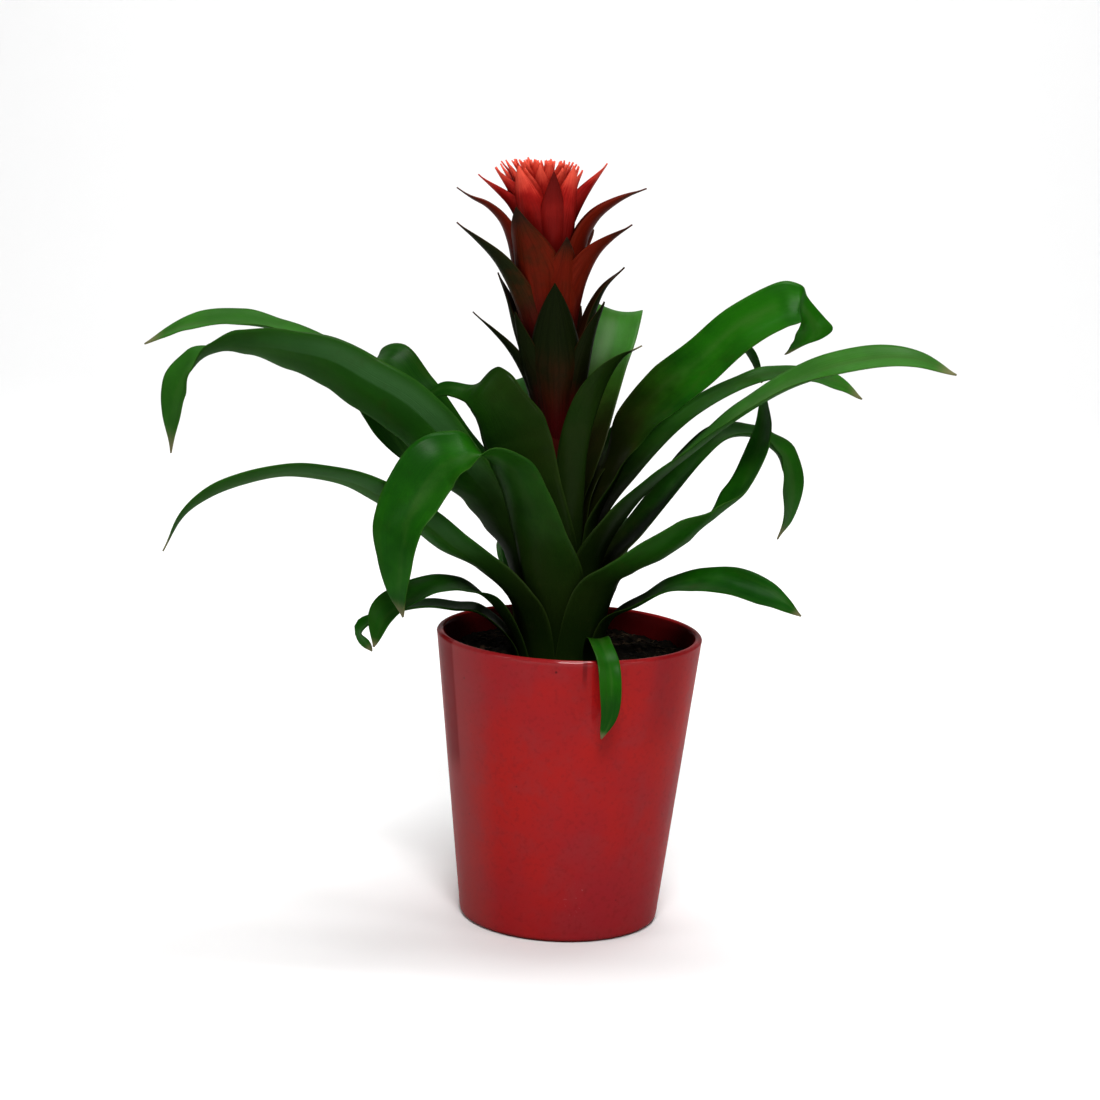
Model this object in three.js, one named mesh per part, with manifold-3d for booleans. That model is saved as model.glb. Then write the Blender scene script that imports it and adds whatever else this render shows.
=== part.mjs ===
// A guzmania in a glazed pot. Millimetres, +Z up, origin at the middle of the pot's underside.
// The rosette is a spiral of strap leaves whose sheaths nest round a short stem. A stalk rises from its middle,
// wrapped in green bracts, then red ones, and ends in a crown of small coral bracts.
import * as THREE from "three";
import { mergeVertices } from "three/addons/utils/BufferGeometryUtils.js";
import Module from "manifold-3d";

// Pot
const POT_HEIGHT = 150;
const POT_RIM_RADIUS = 68;
const POT_FOOT_RADIUS = 51;
const POT_WALL = 4;
const POT_FLOOR = 6;
const POT_SEGMENTS = 48;

// Potting mix
const SOIL_TOP = 138;
const SOIL_RELIEF = 1.4;
const SOIL_RINGS = 6;
const SOIL_SEGMENTS = 40;
const CLEARANCE = 0.35;
const SEAT = 0.3;

// Plant
const PLANT_X = -5;
const STEM_RADIUS = 6.2;
const STEM_BOTTOM = 92;
const STEM_TOP = 134;
const FOOT_HEIGHT = 127;
const FIRST_LAYER_RADIUS = 8;
const LAYER_PITCH = 1.5;
const LAYERS = 12;
const LEAF_THICKNESS = 0.8;
const STATION_SPACING = 13;
const LEAF_ACROSS = 5;
const SHEATH_WRAP = THREE.MathUtils.degToRad(58);
const TIP_SHARE = 0.3;
const SHEATH_REACH = 25;
const BLADE_REACH = 65;
const LEAF_CHANNEL = THREE.MathUtils.degToRad(26);

// Flower spike. Its axis starts on the rosette's axis and bends to the left as it rises.
const SPIKE_LENGTH = 250;
const SPIKE_LEAN = 6.1;
const SPIKE_BEND = 12.8;
const CORE_SIDES = 16;
const OUTER_BRACTS_FROM = 292;
const CROWN_FROM = 330;
const BRACT_THICKNESS = 0.8;
const BRACT_SPACING = 12;
const BRACT_CHANNEL = THREE.MathUtils.degToRad(72);
const CROWN_BRACTS = 16;
const GOLDEN_ANGLE = 137.5;

// Leaves. azimuth: where the sheath leaves the stem, in degrees from +X, anticlockwise seen from above.
// layer: place in the nest of sheaths, counted outwards. path: [x, y, z, roll] along the midrib past the sheath,
// from the plant's axis, with the turn of the blade about its midrib in degrees.
const LEAVES = [
  {
    name: "leaf_over_rim", azimuth: 284, layer: 11, width: 11,
    path: [
      [11, -32, 151, 0], [18, -48, 156, 0], [24, -65, 154, 0], [26, -73, 146, 0], [26, -75, 128, 0],
      [22, -73, 113, 0],
    ],
  },
  {
    name: "leaf_low_left_back", azimuth: 178, layer: 11, width: 20,
    path: [
      [-42, 0, 158, 0], [-54, 2, 159, 0], [-67, 3, 160, 0], [-82, 4, 157, 0], [-95, 5, 151, 0],
      [-103, 6, 144, -20], [-97, 6, 136, -60],
    ],
  },
  {
    name: "leaf_low_left_front", azimuth: 196, layer: 10, width: 20,
    path: [
      [-36, -10, 166, 10], [-51, -15, 174, -10], [-64, -20, 175, -15], [-76, -24, 170, -20],
      [-85, -27, 162, -30], [-92, -29, 145, -20],
    ],
  },
  {
    name: "leaf_low_right", azimuth: 345, layer: 10, width: 24,
    path: [
      [26, -8, 158, 0], [40, -12, 168, 5], [53, -17, 178, 10], [69, -22, 183, 18], [85, -28, 184, 22],
      [100, -33, 180, 22], [110, -37, 176, 20], [119, -40, 171, 20],
    ],
  },
  {
    name: "leaf_left_arching", azimuth: 212, layer: 8, width: 32,
    path: [
      [-22, -15, 166, 0], [-38, -20, 184, 10], [-56, -27, 197, 20], [-70, -32, 209, 20], [-90, -38, 222, 20],
      [-105, -43, 230, 18], [-122, -48, 234, 15], [-138, -52, 235, 15], [-157, -57, 231, 15],
      [-173, -61, 224, 15], [-185, -64, 214, 15], [-194, -66, 196, 15],
    ],
  },
  {
    name: "leaf_turned_up_right", azimuth: 308, layer: 9, width: 30,
    path: [
      [20, -23, 177, 0], [31, -27, 187, -5], [46, -30, 198, -15], [60, -30, 208, -15],
      [74, -27, 218, 5], [86, -22, 230, 22], [95, -15, 245, 20], [99, -8, 260, 15], [99, -2, 274, 10],
    ],
  },
  {
    name: "leaf_front_left", azimuth: 262, layer: 7, width: 33,
    path: [
      [-5, -28, 179, 0], [-14, -37, 206, -10], [-22, -43, 228, -12], [-30, -48, 243, -8],
      [-41, -52, 249, 0], [-52, -54, 248, -18], [-64, -56, 242, -30], [-74, -60, 227, -25],
      [-80, -63, 213, -14], [-81, -64, 195, -6], [-80, -63, 178, -3], [-77, -60, 167, 0],
    ],
  },
  {
    name: "leaf_right_drooping", azimuth: 12, layer: 8, width: 32,
    path: [
      [24, 6, 182, 0], [38, 11, 201, 0], [52, 16, 221, 0], [66, 20, 240, 2], [79, 24, 251, 6],
      [94, 28, 252, 15], [106, 31, 246, 30], [114, 33, 237, 42], [117, 34, 222, 45], [116, 34, 207, 42],
      [111, 33, 196, 35],
    ],
  },
  {
    name: "leaf_right_long", azimuth: 334, layer: 6, width: 34,
    path: [
      [18, -10, 188, 0], [30, -14, 213, 0], [47, -19, 235, 4], [66, -24, 254, 8], [84, -28, 270, 12],
      [105, -32, 285, 14], [126, -36, 295, 16], [150, -40, 301, 16], [169, -43, 301, 16],
      [187, -46, 295, 16],
    ],
  },
  {
    name: "leaf_left_long", azimuth: 214, layer: 6, width: 33,
    path: [
      [-26, -15, 190, 0], [-34, -17, 206, 15], [-41, -18, 220, 30], [-53, -20, 234, 42],
      [-70, -21, 254, 55], [-85, -21, 266, 62], [-102, -20, 275, 62], [-119, -18, 284, 55],
      [-141, -15, 289, 42], [-163, -13, 291, 28], [-177, -12, 289, 11], [-190, -11, 281, -15],
      [-197, -10, 268, -35], [-199, -9, 254, -38], [-199, -8, 235, -25],
    ],
  },
  {
    name: "leaf_left_rear", azimuth: 170, layer: 5, width: 30,
    path: [
      [-22, 4, 189, 0], [-37, 9, 216, 0], [-58, 15, 239, 0], [-84, 23, 260, 0], [-111, 31, 279, 0],
      [-135, 36, 292, 0], [-153, 40, 298, 0], [-174, 44, 301, 0], [-198, 48, 297, 0],
      [-211, 50, 290, 0], [-222, 51, 282, 0],
    ],
  },
  {
    name: "leaf_left_hooked", azimuth: 140, layer: 4, width: 32,
    path: [
      [-15, 12, 186, 0], [-24, 23, 216, 6], [-48, 45, 243, 8], [-80, 60, 268, -5], [-96, 70, 280, -5],
      [-104, 78, 276, 0], [-107, 84, 264, 0], [-101, 86, 250, 0], [-95, 84, 238, 0], [-87, 79, 227, 0],
      [-78, 72, 218, 0],
    ],
  },
  {
    name: "leaf_right_thin", azimuth: 30, layer: 5, width: 22,
    path: [
      [16, 9, 204, 0], [33, 18, 230, 0], [52, 26, 252, 0], [68, 32, 265, 0], [88, 38, 275, 0],
      [106, 43, 281, 0], [124, 48, 280, 0], [141, 52, 276, 0], [153, 55, 268, 0],
    ],
  },
  {
    name: "leaf_right_upper", azimuth: 0, layer: 4, width: 34,
    path: [
      [16, 2, 204, 0], [27, 3, 234, 5], [37, 4, 257, 25], [52, 5, 275, 36], [68, 6, 290, 38],
      [85, 7, 306, 38], [101, 8, 317, 38], [113, 9, 319, 40], [122, 10, 313, 40], [122, 10, 306, 30],
      [114, 8, 301, 20], [106, 6, 294, 10],
    ],
  },
  {
    name: "leaf_right_back_tip", azimuth: 62, layer: 3, width: 18,
    path: [
      [5.5, 10.5, 190, 0], [8, 14.5, 222, 0], [20, 34, 252, 0], [43, 47, 276, 0], [67, 56, 291, 0],
      [82, 60, 297, 0], [91, 64, 292, 0], [97, 66, 284, 0], [101, 66, 273, 0],
    ],
  },
  {
    name: "leaf_left_broad", azimuth: 237, layer: 2, width: 37,
    path: [
      [-7, -11, 173, 0], [-12, -15, 200, 5], [-19, -20, 223, 15], [-25, -22, 244, 28],
      [-32, -22, 259, 42], [-38, -19, 267, 36], [-44, -14, 267, 8], [-50, -9, 268, 0],
      [-60, -3, 269, 0], [-70, 3, 270, 0], [-84, 9, 271, 0],
    ],
  },
  {
    name: "leaf_back_left", azimuth: 112, layer: 2, width: 26,
    path: [
      [-4, 9.5, 184, 0], [-5.5, 13.5, 222, 0], [-12, 29, 249, 0], [-20, 44, 265, 0], [-29, 56, 271, 0],
      [-38, 66, 267, 0], [-46, 74, 259, 0], [-54, 80, 253, 0],
    ],
  },
  {
    name: "leaf_back_upright", azimuth: 80, layer: 1, width: 27,
    path: [
      [1.5, 8, 190, 0], [3, 11, 222, 0], [10, 26, 252, 0], [16, 42, 278, 4], [21, 62, 295, 10],
      [24, 84, 303, 10], [24, 104, 300, 4], [20, 122, 289, 0], [17, 136, 270, 0], [15, 146, 250, 0],
    ],
  },
  {
    name: "leaf_inner_upright", azimuth: 285, layer: 1, width: 15,
    path: [
      [3, -11, 189, 0], [2, -16, 221, 0], [3, -20, 247, 0], [6, -21, 262, 0], [11, -20, 275, 0],
      [18, -18, 286, 0], [26, -15, 294, 0], [35, -12, 299, 0],
    ],
  },
  {
    name: "leaf_back_long", azimuth: 92, layer: 6, width: 20,
    path: [
      [2, 30, 194, 0], [3, 52, 218, 0], [4, 84, 238, 0], [5, 120, 246, 0], [6, 156, 239, 0],
      [6, 190, 219, 0], [5, 212, 192, 0],
    ],
  },
  {
    name: "leaf_back_arching", azimuth: 108, layer: 9, width: 30,
    path: [
      [-9, 30, 172, 0], [-14, 56, 198, 0], [-18, 92, 213, 0], [-20, 130, 210, 0], [-21, 162, 192, 0],
      [-21, 184, 165, 0],
    ],
  },
  {
    name: "leaf_back_right_low", azimuth: 64, layer: 11, width: 28,
    path: [[15, 31, 163, 0], [22, 56, 183, 0], [29, 90, 193, 0], [34, 124, 186, 0], [37, 150, 168, 0]],
  },
  {
    name: "leaf_back_left_low", azimuth: 126, layer: 12, width: 26,
    path: [
      [-15, 28, 156, 0], [-19, 50, 172, 0], [-22, 82, 178, 0], [-24, 112, 168, 0], [-25, 134, 148, 0],
    ],
  },
];

// Bracts. azimuth and width as for a leaf; profile: [distance from the spike's axis, height] along the midrib.
const STALK_BRACTS = [
  { azimuth: 140, width: 14, profile: [[4, 198], [7, 214], [10, 232], [15, 248], [22, 262]] },
  { azimuth: 20, width: 14, profile: [[5, 206], [8, 222], [12, 240], [17, 256], [25, 270]] },
  { azimuth: 276, width: 30, profile: [[9, 246], [13, 262], [19, 288], [22, 306], [25, 319], [29, 330]] },
  { azimuth: 190, width: 24, profile: [[9, 248], [12, 264], [16, 279], [23, 293], [31, 303], [40, 312]] },
  { azimuth: 222, width: 26, profile: [[9, 258], [15, 276], [20, 292], [22, 303], [24, 314]] },
  { azimuth: 325, width: 22, profile: [[9, 254], [15, 268], [19, 283], [23, 298], [27, 309], [33, 321]] },
  { azimuth: 10, width: 22, profile: [[10, 262], [15, 280], [19, 298], [23, 314], [29, 326], [39, 336]] },
  { azimuth: 165, width: 24, profile: [[10, 266], [15, 284], [20, 302], [23, 318], [27, 331]] },
  { azimuth: 60, width: 26, profile: [[9, 250], [13, 266], [18, 284], [23, 300], [30, 314]] },
  { azimuth: 108, width: 26, profile: [[10, 262], [15, 280], [20, 298], [24, 314], [30, 328]] },
];

const OUTER_BRACTS = [
  {
    azimuth: 205, width: 28,
    profile: [[11, 294], [15, 304], [18, 314], [22, 325], [29, 338], [38, 348], [48, 357]],
  },
  {
    azimuth: 340, width: 28,
    profile: [[11, 296], [13, 308], [16, 320], [20, 331], [27, 343], [35, 351], [46, 359]],
  },
  { azimuth: 240, width: 38, profile: [[11, 300], [15, 314], [18, 330], [21, 345], [25, 357], [27, 368]] },
  { azimuth: 300, width: 30, profile: [[11, 296], [15, 312], [18, 330], [20, 346], [22, 358]] },
  {
    azimuth: 185, width: 26,
    profile: [[11, 306], [15, 320], [18, 334], [20, 348], [23, 357], [29, 364], [36, 368], [43, 373]],
  },
  {
    azimuth: 0, width: 26,
    profile: [[11, 306], [15, 322], [18, 338], [21, 350], [27, 360], [35, 367], [43, 372], [52, 376]],
  },
  { azimuth: 45, width: 28, profile: [[11, 300], [15, 314], [18, 328], [25, 342], [34, 353]] },
  { azimuth: 90, width: 30, profile: [[11, 310], [15, 326], [18, 340], [23, 352], [31, 364]] },
  { azimuth: 132, width: 30, profile: [[11, 304], [15, 320], [18, 334], [24, 346], [33, 356]] },
];

const CROWN_FRONT_BRACTS = [
  { azimuth: 277, width: 28, profile: [[10, 333], [13.5, 345], [16, 358], [19, 372], [22, 384]] },
  { azimuth: 190, width: 24, profile: [[10, 345], [14, 356], [18, 365], [23, 371], [32, 380]] },
  { azimuth: 205, width: 24, profile: [[10, 350], [14, 362], [18, 372], [25, 384]] },
  { azimuth: 350, width: 24, profile: [[10, 346], [14, 356], [18, 364], [24, 374], [34, 388]] },
];

const wasm = await Module();
wasm.setup();

// A closed mesh as a manifold solid, and back.
function toSolid(geometry) {
  const bare = geometry.clone();
  bare.deleteAttribute("normal");
  bare.deleteAttribute("uv");
  const merged = mergeVertices(bare, 1e-4);
  return new wasm.Manifold(
    new wasm.Mesh({
      numProp: 3,
      vertProperties: merged.attributes.position.array,
      triVerts: new Uint32Array(merged.index.array),
    }),
  );
}

function toGeometry(solid) {
  const mesh = solid.getMesh();
  const geometry = new THREE.BufferGeometry();
  geometry.setAttribute("position", new THREE.BufferAttribute(mesh.vertProperties, 3));
  geometry.setIndex(new THREE.BufferAttribute(mesh.triVerts, 1));
  geometry.computeVertexNormals();
  return geometry;
}

// A value that runs smoothly through a list spread evenly over 0..1.
function along(list, share) {
  const x = THREE.MathUtils.clamp(share, 0, 1) * (list.length - 1);
  const i = Math.min(Math.floor(x), list.length - 2);
  return THREE.MathUtils.lerp(list[i], list[i + 1], THREE.MathUtils.smoothstep(x - i, 0, 1));
}

// Share of the full width at a share of the length: straight, then rounding in to a point.
function strapWidth(share) {
  const toTip = Math.min((1 - share) / TIP_SHARE, 1);
  return 1 - (1 - toTip) ** 3;
}

// A bract is broad at its foot and draws out to a fine point.
function bractWidth(share) {
  return 1 - THREE.MathUtils.clamp((share - 0.25) / 0.75, 0, 1) ** 1.5;
}

// A blade swept along its midrib. Each section is an arc that hugs the cone round the axis near the stem, and a
// shallow channel further out, so that neighbouring sheaths nest.
function bladeGeometry({ path, width, outline, channel, lowered, spacing, across, thickness }) {
  const midrib = new THREE.CatmullRomCurve3(path.map(([x, y, z]) => new THREE.Vector3(x, y, z)), false, "centripetal");
  const stations = Math.round(midrib.getLength() / spacing);
  const rolls = path.map(([, , , roll]) => THREE.MathUtils.degToRad(roll));
  const rings = [];
  for (let i = 0; i < stations; i++) {
    const share = i / (stations - 1);
    const centre = midrib.getPointAt(share);
    const tangent = midrib.getTangentAt(share);
    const reach = Math.hypot(centre.x, centre.y);
    const level = new THREE.Vector3(-centre.y / reach, centre.x / reach, 0);
    const flatSide = level.addScaledVector(tangent, -level.dot(tangent)).normalize();
    const flatUp = new THREE.Vector3().crossVectors(tangent, flatSide);
    const turn = along(rolls, midrib.getUtoTmapping(share));
    const side = flatSide.clone().multiplyScalar(Math.cos(turn)).addScaledVector(flatUp, Math.sin(turn));
    const up = flatUp.clone().multiplyScalar(Math.cos(turn)).addScaledVector(flatSide, -Math.sin(turn));
    const hug = (Math.max(tangent.z, 0) / reach) * Math.cos(turn) ** 2;
    let half = (width * outline(share)) / 2 + 0.3;
    if (hug > 0) half = Math.min(half, SHEATH_WRAP / hug);
    const bend = Math.max(half * hug, channel * outline(share) + 0.01);
    const radius = half / bend;
    const clear = lowered * THREE.MathUtils.smoothstep(reach, SHEATH_REACH, BLADE_REACH);
    centre.addScaledVector(up, (-clear * radius * (1 - Math.cos(bend))) / 2);
    const under = [];
    const over = [];
    for (let j = 0; j < across; j++) {
      const u = (2 * j) / (across - 1) - 1;
      const swing = bend * u;
      const normal = up.clone().multiplyScalar(Math.cos(swing)).addScaledVector(side, -Math.sin(swing));
      const point = centre
        .clone()
        .addScaledVector(side, radius * Math.sin(swing))
        .addScaledVector(up, radius * (1 - Math.cos(swing)));
      under.push(point);
      over.push(point.clone().addScaledVector(normal, thickness * (1 - 0.3 * u * u)));
    }
    rings.push([...under, ...over.reverse()]);
  }
  return loft(rings, across);
}

// Closes a stack of rings into one skin. The two faces split their quads along the same diagonal.
function loft(rings, across) {
  const count = rings[0].length;
  const vertices = rings.flat().flatMap((p) => [p.x, p.y, p.z]);
  const faces = [];
  for (let i = 0; i + 1 < rings.length; i++)
    for (let j = 0; j < count; j++) {
      const a = i * count + j;
      const b = i * count + ((j + 1) % count);
      const [c, d] = [a + count, b + count];
      if (j < across - 1) faces.push(a, b, d, a, d, c);
      else faces.push(a, b, c, b, d, c);
    }
  for (const [start, flip] of [[0, false], [(rings.length - 1) * count, true]])
    for (let j = 0; j < across - 1; j++) {
      const quad = [start + j, start + j + 1, start + count - 2 - j, start + count - 1 - j];
      const [a, b, c, d] = flip ? quad : [quad[3], quad[2], quad[1], quad[0]];
      faces.push(a, b, c, a, c, d);
    }
  const geometry = new THREE.BufferGeometry();
  geometry.setAttribute("position", new THREE.Float32BufferAttribute(vertices, 3));
  geometry.setIndex(faces);
  return geometry;
}

function leafGeometry({ azimuth, layer, path, width }) {
  const radius = FIRST_LAYER_RADIUS + (layer - 1) * LAYER_PITCH;
  const a = THREE.MathUtils.degToRad(azimuth);
  const foot = [FOOT_HEIGHT, FOOT_HEIGHT + 12].map((z) => [radius * Math.cos(a), radius * Math.sin(a), z, 0]);
  const geometry = bladeGeometry({
    path: [...foot, ...path],
    width,
    outline: strapWidth,
    channel: LEAF_CHANNEL,
    lowered: 1,
    spacing: STATION_SPACING,
    across: LEAF_ACROSS,
    thickness: LEAF_THICKNESS,
  });
  geometry.translate(PLANT_X, 0, 0);
  return geometry;
}

// Turns a profile of [radius, height] points round the Z axis.
function turned(profile, segments) {
  const geometry = new THREE.LatheGeometry(profile.map(([r, z]) => new THREE.Vector2(r, z)), segments);
  return geometry.rotateX(Math.PI / 2);
}

function potRadiusAt(height) {
  return THREE.MathUtils.lerp(POT_FOOT_RADIUS, POT_RIM_RADIUS, height / POT_HEIGHT);
}

function potGeometry() {
  const inner = (z) => potRadiusAt(z) - POT_WALL;
  const lip = POT_WALL / 2;
  const lipPoints = [];
  for (let k = 0; k <= 4; k++) {
    const t = (Math.PI * k) / 4;
    lipPoints.push([POT_RIM_RADIUS - lip + lip * Math.cos(t), POT_HEIGHT - lip + lip * Math.sin(t)]);
  }
  return turned(
    [
      [0, 0],
      [POT_FOOT_RADIUS - 2.5, 0],
      [POT_FOOT_RADIUS - 0.6, 0.9],
      [potRadiusAt(3), 3],
      ...lipPoints,
      [inner(POT_HEIGHT / 2), POT_HEIGHT / 2],
      [inner(POT_FLOOR + 3), POT_FLOOR + 3],
      [inner(POT_FLOOR) - 3, POT_FLOOR],
      [0, POT_FLOOR],
    ],
    POT_SEGMENTS,
  );
}

// The mix fills the pot to just below the rim. A shallow hollow takes the feet of the sheaths and a narrow plain
// hole below it takes the short stem.
function soilGeometry() {
  const wall = (z) => potRadiusAt(z) - POT_WALL - CLEARANCE;
  const floor = POT_FLOOR + CLEARANCE;
  const profile = [[0, floor], [wall(floor) - 3, floor], [wall(floor + 4), floor + 4]];
  for (let k = 0; k <= SOIL_RINGS; k++) profile.push([wall(SOIL_TOP) * (1 - k / SOIL_RINGS), SOIL_TOP]);
  const fill = turned(profile, SOIL_SEGMENTS);
  const p = fill.attributes.position;
  for (let i = 0; i < p.count; i++) if (p.getZ(i) > SOIL_TOP - 1) p.setZ(i, SOIL_TOP + lumps(p.getX(i), p.getY(i)));
  const nest = FIRST_LAYER_RADIUS + LAYER_PITCH * (LAYERS - 1) + LEAF_THICKNESS + 0.7;
  const hollow = roundHole(nest, FOOT_HEIGHT - SEAT);
  const bore = roundHole(STEM_RADIUS + CLEARANCE, STEM_BOTTOM - SEAT);
  return toGeometry(toSolid(fill).subtract(hollow.add(bore)));
}

// Low lumps in the surface of the mix.
function lumps(x, y) {
  const waves = Math.sin(0.31 * x + 0.11 * y) + Math.sin(0.17 * x - 0.29 * y + 2) + Math.sin(0.05 * x + 0.4 * y + 4);
  return (SOIL_RELIEF * waves) / 3;
}

// A round hole on the plant's axis, open at the top of the mix.
function roundHole(radius, bottom) {
  const top = SOIL_TOP + 5;
  const plug = turned([[0, bottom], [radius, bottom], [radius, top], [0, top]], SOIL_SEGMENTS);
  return toSolid(plug.translate(PLANT_X, 0, 0));
}

function stemGeometry() {
  return turned(
    [
      [0, STEM_BOTTOM],
      [STEM_RADIUS - 1.5, STEM_BOTTOM],
      [STEM_RADIUS, STEM_BOTTOM + 3],
      [STEM_RADIUS, STEM_TOP],
      [0, STEM_TOP],
    ],
    CORE_SIDES,
  ).translate(PLANT_X, 0, 0);
}

// Bends an upright solid of the spike to the spike's own axis.
function bendSpike(geometry) {
  const p = geometry.attributes.position;
  for (let i = 0; i < p.count; i++) {
    const rise = (p.getZ(i) - STEM_TOP) / SPIKE_LENGTH;
    p.setX(i, p.getX(i) + PLANT_X - SPIKE_LEAN * rise - SPIKE_BEND * rise * rise);
  }
  return geometry;
}

function bractGeometry({ azimuth, width, profile }) {
  const a = THREE.MathUtils.degToRad(azimuth);
  return bladeGeometry({
    path: profile.map(([r, z]) => [r * Math.cos(a), r * Math.sin(a), z, 0]),
    width,
    outline: bractWidth,
    channel: BRACT_CHANNEL,
    lowered: 0,
    spacing: BRACT_SPACING,
    across: LEAF_ACROSS,
    thickness: BRACT_THICKNESS,
  });
}

// One length of the spike: a turned core with its bracts fused on. Only the outer skin is kept, which fills the
// small voids shut in between the feet of the bracts.
function spikeGeometry(core, bracts) {
  let solid = toSolid(turned(core, CORE_SIDES));
  for (const bract of bracts) solid = solid.add(toSolid(bractGeometry(bract)));
  const skins = solid.decompose().sort((a, b) => b.volume() - a.volume());
  return bendSpike(toGeometry(skins[0]));
}

// The inner bracts of the crown follow one another by the golden angle, each a little higher and more upright.
function crownBracts() {
  const bracts = [];
  for (let k = 0; k < CROWN_BRACTS; k++) {
    const inward = k / (CROWN_BRACTS - 1);
    const foot = THREE.MathUtils.lerp(10, 4, inward);
    const tip = THREE.MathUtils.lerp(23, 7, inward);
    const base = THREE.MathUtils.lerp(348, 360, inward);
    const top = THREE.MathUtils.lerp(385, 390, inward);
    bracts.push({
      azimuth: 60 + GOLDEN_ANGLE * k,
      width: THREE.MathUtils.lerp(24, 14, inward),
      profile: [
        [foot, base],
        [THREE.MathUtils.lerp(foot, tip, 0.4), THREE.MathUtils.lerp(base, top, 0.4)],
        [THREE.MathUtils.lerp(foot, tip, 0.65), THREE.MathUtils.lerp(base, top, 0.75)],
        [tip, top],
      ],
    });
  }
  return bracts;
}

const root = new THREE.Group();

function add(name, geometry, { color, roughness, metalness = 0 }) {
  const mesh = new THREE.Mesh(geometry, new THREE.MeshStandardMaterial({ color, roughness, metalness }));
  mesh.name = name;
  root.add(mesh);
  return mesh;
}

const GLAZE = { color: 0x9c1f26, roughness: 0.2 };
const MIX = { color: 0x3a2b20, roughness: 0.95 };
const STEM = { color: 0x4a3b22, roughness: 0.8 };
const LEAF = { color: 0x14520f, roughness: 0.4 };
const DARK_BRACT = { color: 0x3d1a12, roughness: 0.45 };
const RED_BRACT = { color: 0x7a1d14, roughness: 0.45 };
const CORAL = { color: 0xd8412f, roughness: 0.45 };

add("pot", potGeometry(), GLAZE);
add("potting_mix", soilGeometry(), MIX);
add("short_stem", stemGeometry(), STEM);
add(
  "flower_stalk",
  spikeGeometry(
    [[0, STEM_TOP + SEAT], [4.6, STEM_TOP + SEAT], [4.6, 190], [7, 221], [10, 250], [12, 285], [12, OUTER_BRACTS_FROM], [0, OUTER_BRACTS_FROM]],
    STALK_BRACTS,
  ),
  DARK_BRACT,
);
add(
  "outer_bracts",
  spikeGeometry(
    [[0, OUTER_BRACTS_FROM + SEAT], [12, OUTER_BRACTS_FROM + SEAT], [12.5, CROWN_FROM], [0, CROWN_FROM]],
    OUTER_BRACTS,
  ),
  RED_BRACT,
);
add(
  "crown_bracts",
  spikeGeometry(
    [[0, CROWN_FROM + SEAT], [12, CROWN_FROM + SEAT], [11.5, 352], [8, 368], [0, 372]],
    [...CROWN_FRONT_BRACTS, ...crownBracts()],
  ),
  CORAL,
);
for (const leaf of LEAVES) add(leaf.name, leafGeometry(leaf), LEAF);

export default root;
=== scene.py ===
"""A guzmania in a glazed pot: the finished look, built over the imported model.

It is laid out as a Blender add-on and run as a script. Shapes are in millimetres until they become a mesh. +Z
is up, +Y points away from the camera, and the origin is the middle of the pot's underside.
"""

import math
from functools import partialmethod
from typing import NamedTuple

import bpy
import numpy as np
from bpy.props import FloatProperty, FloatVectorProperty, IntProperty, PointerProperty
from bpy.types import Operator, Panel, PropertyGroup
from mathutils import Matrix, Vector


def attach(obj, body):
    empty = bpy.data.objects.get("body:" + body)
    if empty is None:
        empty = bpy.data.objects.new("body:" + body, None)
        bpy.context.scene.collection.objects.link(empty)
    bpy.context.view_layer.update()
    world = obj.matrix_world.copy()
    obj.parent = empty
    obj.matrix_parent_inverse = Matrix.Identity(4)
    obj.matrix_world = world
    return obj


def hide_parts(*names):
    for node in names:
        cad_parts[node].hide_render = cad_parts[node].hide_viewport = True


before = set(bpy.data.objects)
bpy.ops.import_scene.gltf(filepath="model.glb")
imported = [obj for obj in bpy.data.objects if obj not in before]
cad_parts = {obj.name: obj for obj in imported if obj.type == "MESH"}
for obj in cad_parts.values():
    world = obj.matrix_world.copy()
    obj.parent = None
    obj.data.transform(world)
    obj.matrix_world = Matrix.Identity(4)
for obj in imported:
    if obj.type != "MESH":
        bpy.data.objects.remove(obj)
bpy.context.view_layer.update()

bl_info = {
    "name": "Potted guzmania",
    "version": (1, 0, 0),
    "blender": (4, 5, 0),
    "location": "View3D > Sidebar > Guzmania",
    "description": "Builds the leaves, flower spike, pot and potting mix of a guzmania over its solid model",
    "category": "Object",
}

MM = 0.001
PLANT_X = -5.0

# Nest of sheaths, the same as in the solid model
FOOT_HEIGHT = 127.0
FOOT_UPRIGHT = 12.0
NEST_RADIUS = 26.0
FIRST_LAYER_RADIUS = 8.0
LAYER_PITCH = 1.5
SHEATH_WRAP = math.radians(58)
SHEATH_REACH, BLADE_REACH = 25.0, 65.0

# Blades: the share of a leaf that rounds in to its tip, how much thinner its margins are, where their waves
# come in, the lengths of the waves over 2 pi, and the least values of a section
TIP_SHARE = 0.3
MARGIN_THINNING = 0.55
WAVES_FROM, WAVES_FULL = 45.0, 90.0
LONG_WAVE, SHORT_WAVE = 17.0, 8.3
LEAST_HALF_WIDTH, LEAST_BEND, LEAST_STATIONS = 0.3, 0.01, 6

# Flower spike, which starts on the plant's axis and bends to the left as it rises
SPIKE_FOOT = 134.0
SPIKE_LENGTH = 250.0
SPIKE_LEAN = 6.1
SPIKE_BEND = 12.8
GOLDEN_ANGLE = 137.5

# Short woody stem below the nest, and the socket for it in the potting mix
STEM_FOOT = 92.0
STEM_SOCKET = 6.5

# Heel and inner floor of the pot, as distances from its foot radius and heights
POT_HEEL = ((-3, 0), (-1.6, 0.3), (-0.5, 1.1), (0.15, 2.1))
POT_FLOOR = ((-5.5, 7.6), (-8, 6))
POT_FLOOR_TOP = 6.0
STRAIGHT_OUTSIDE, STRAIGHT_INSIDE = 3.0, 12.0

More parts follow.
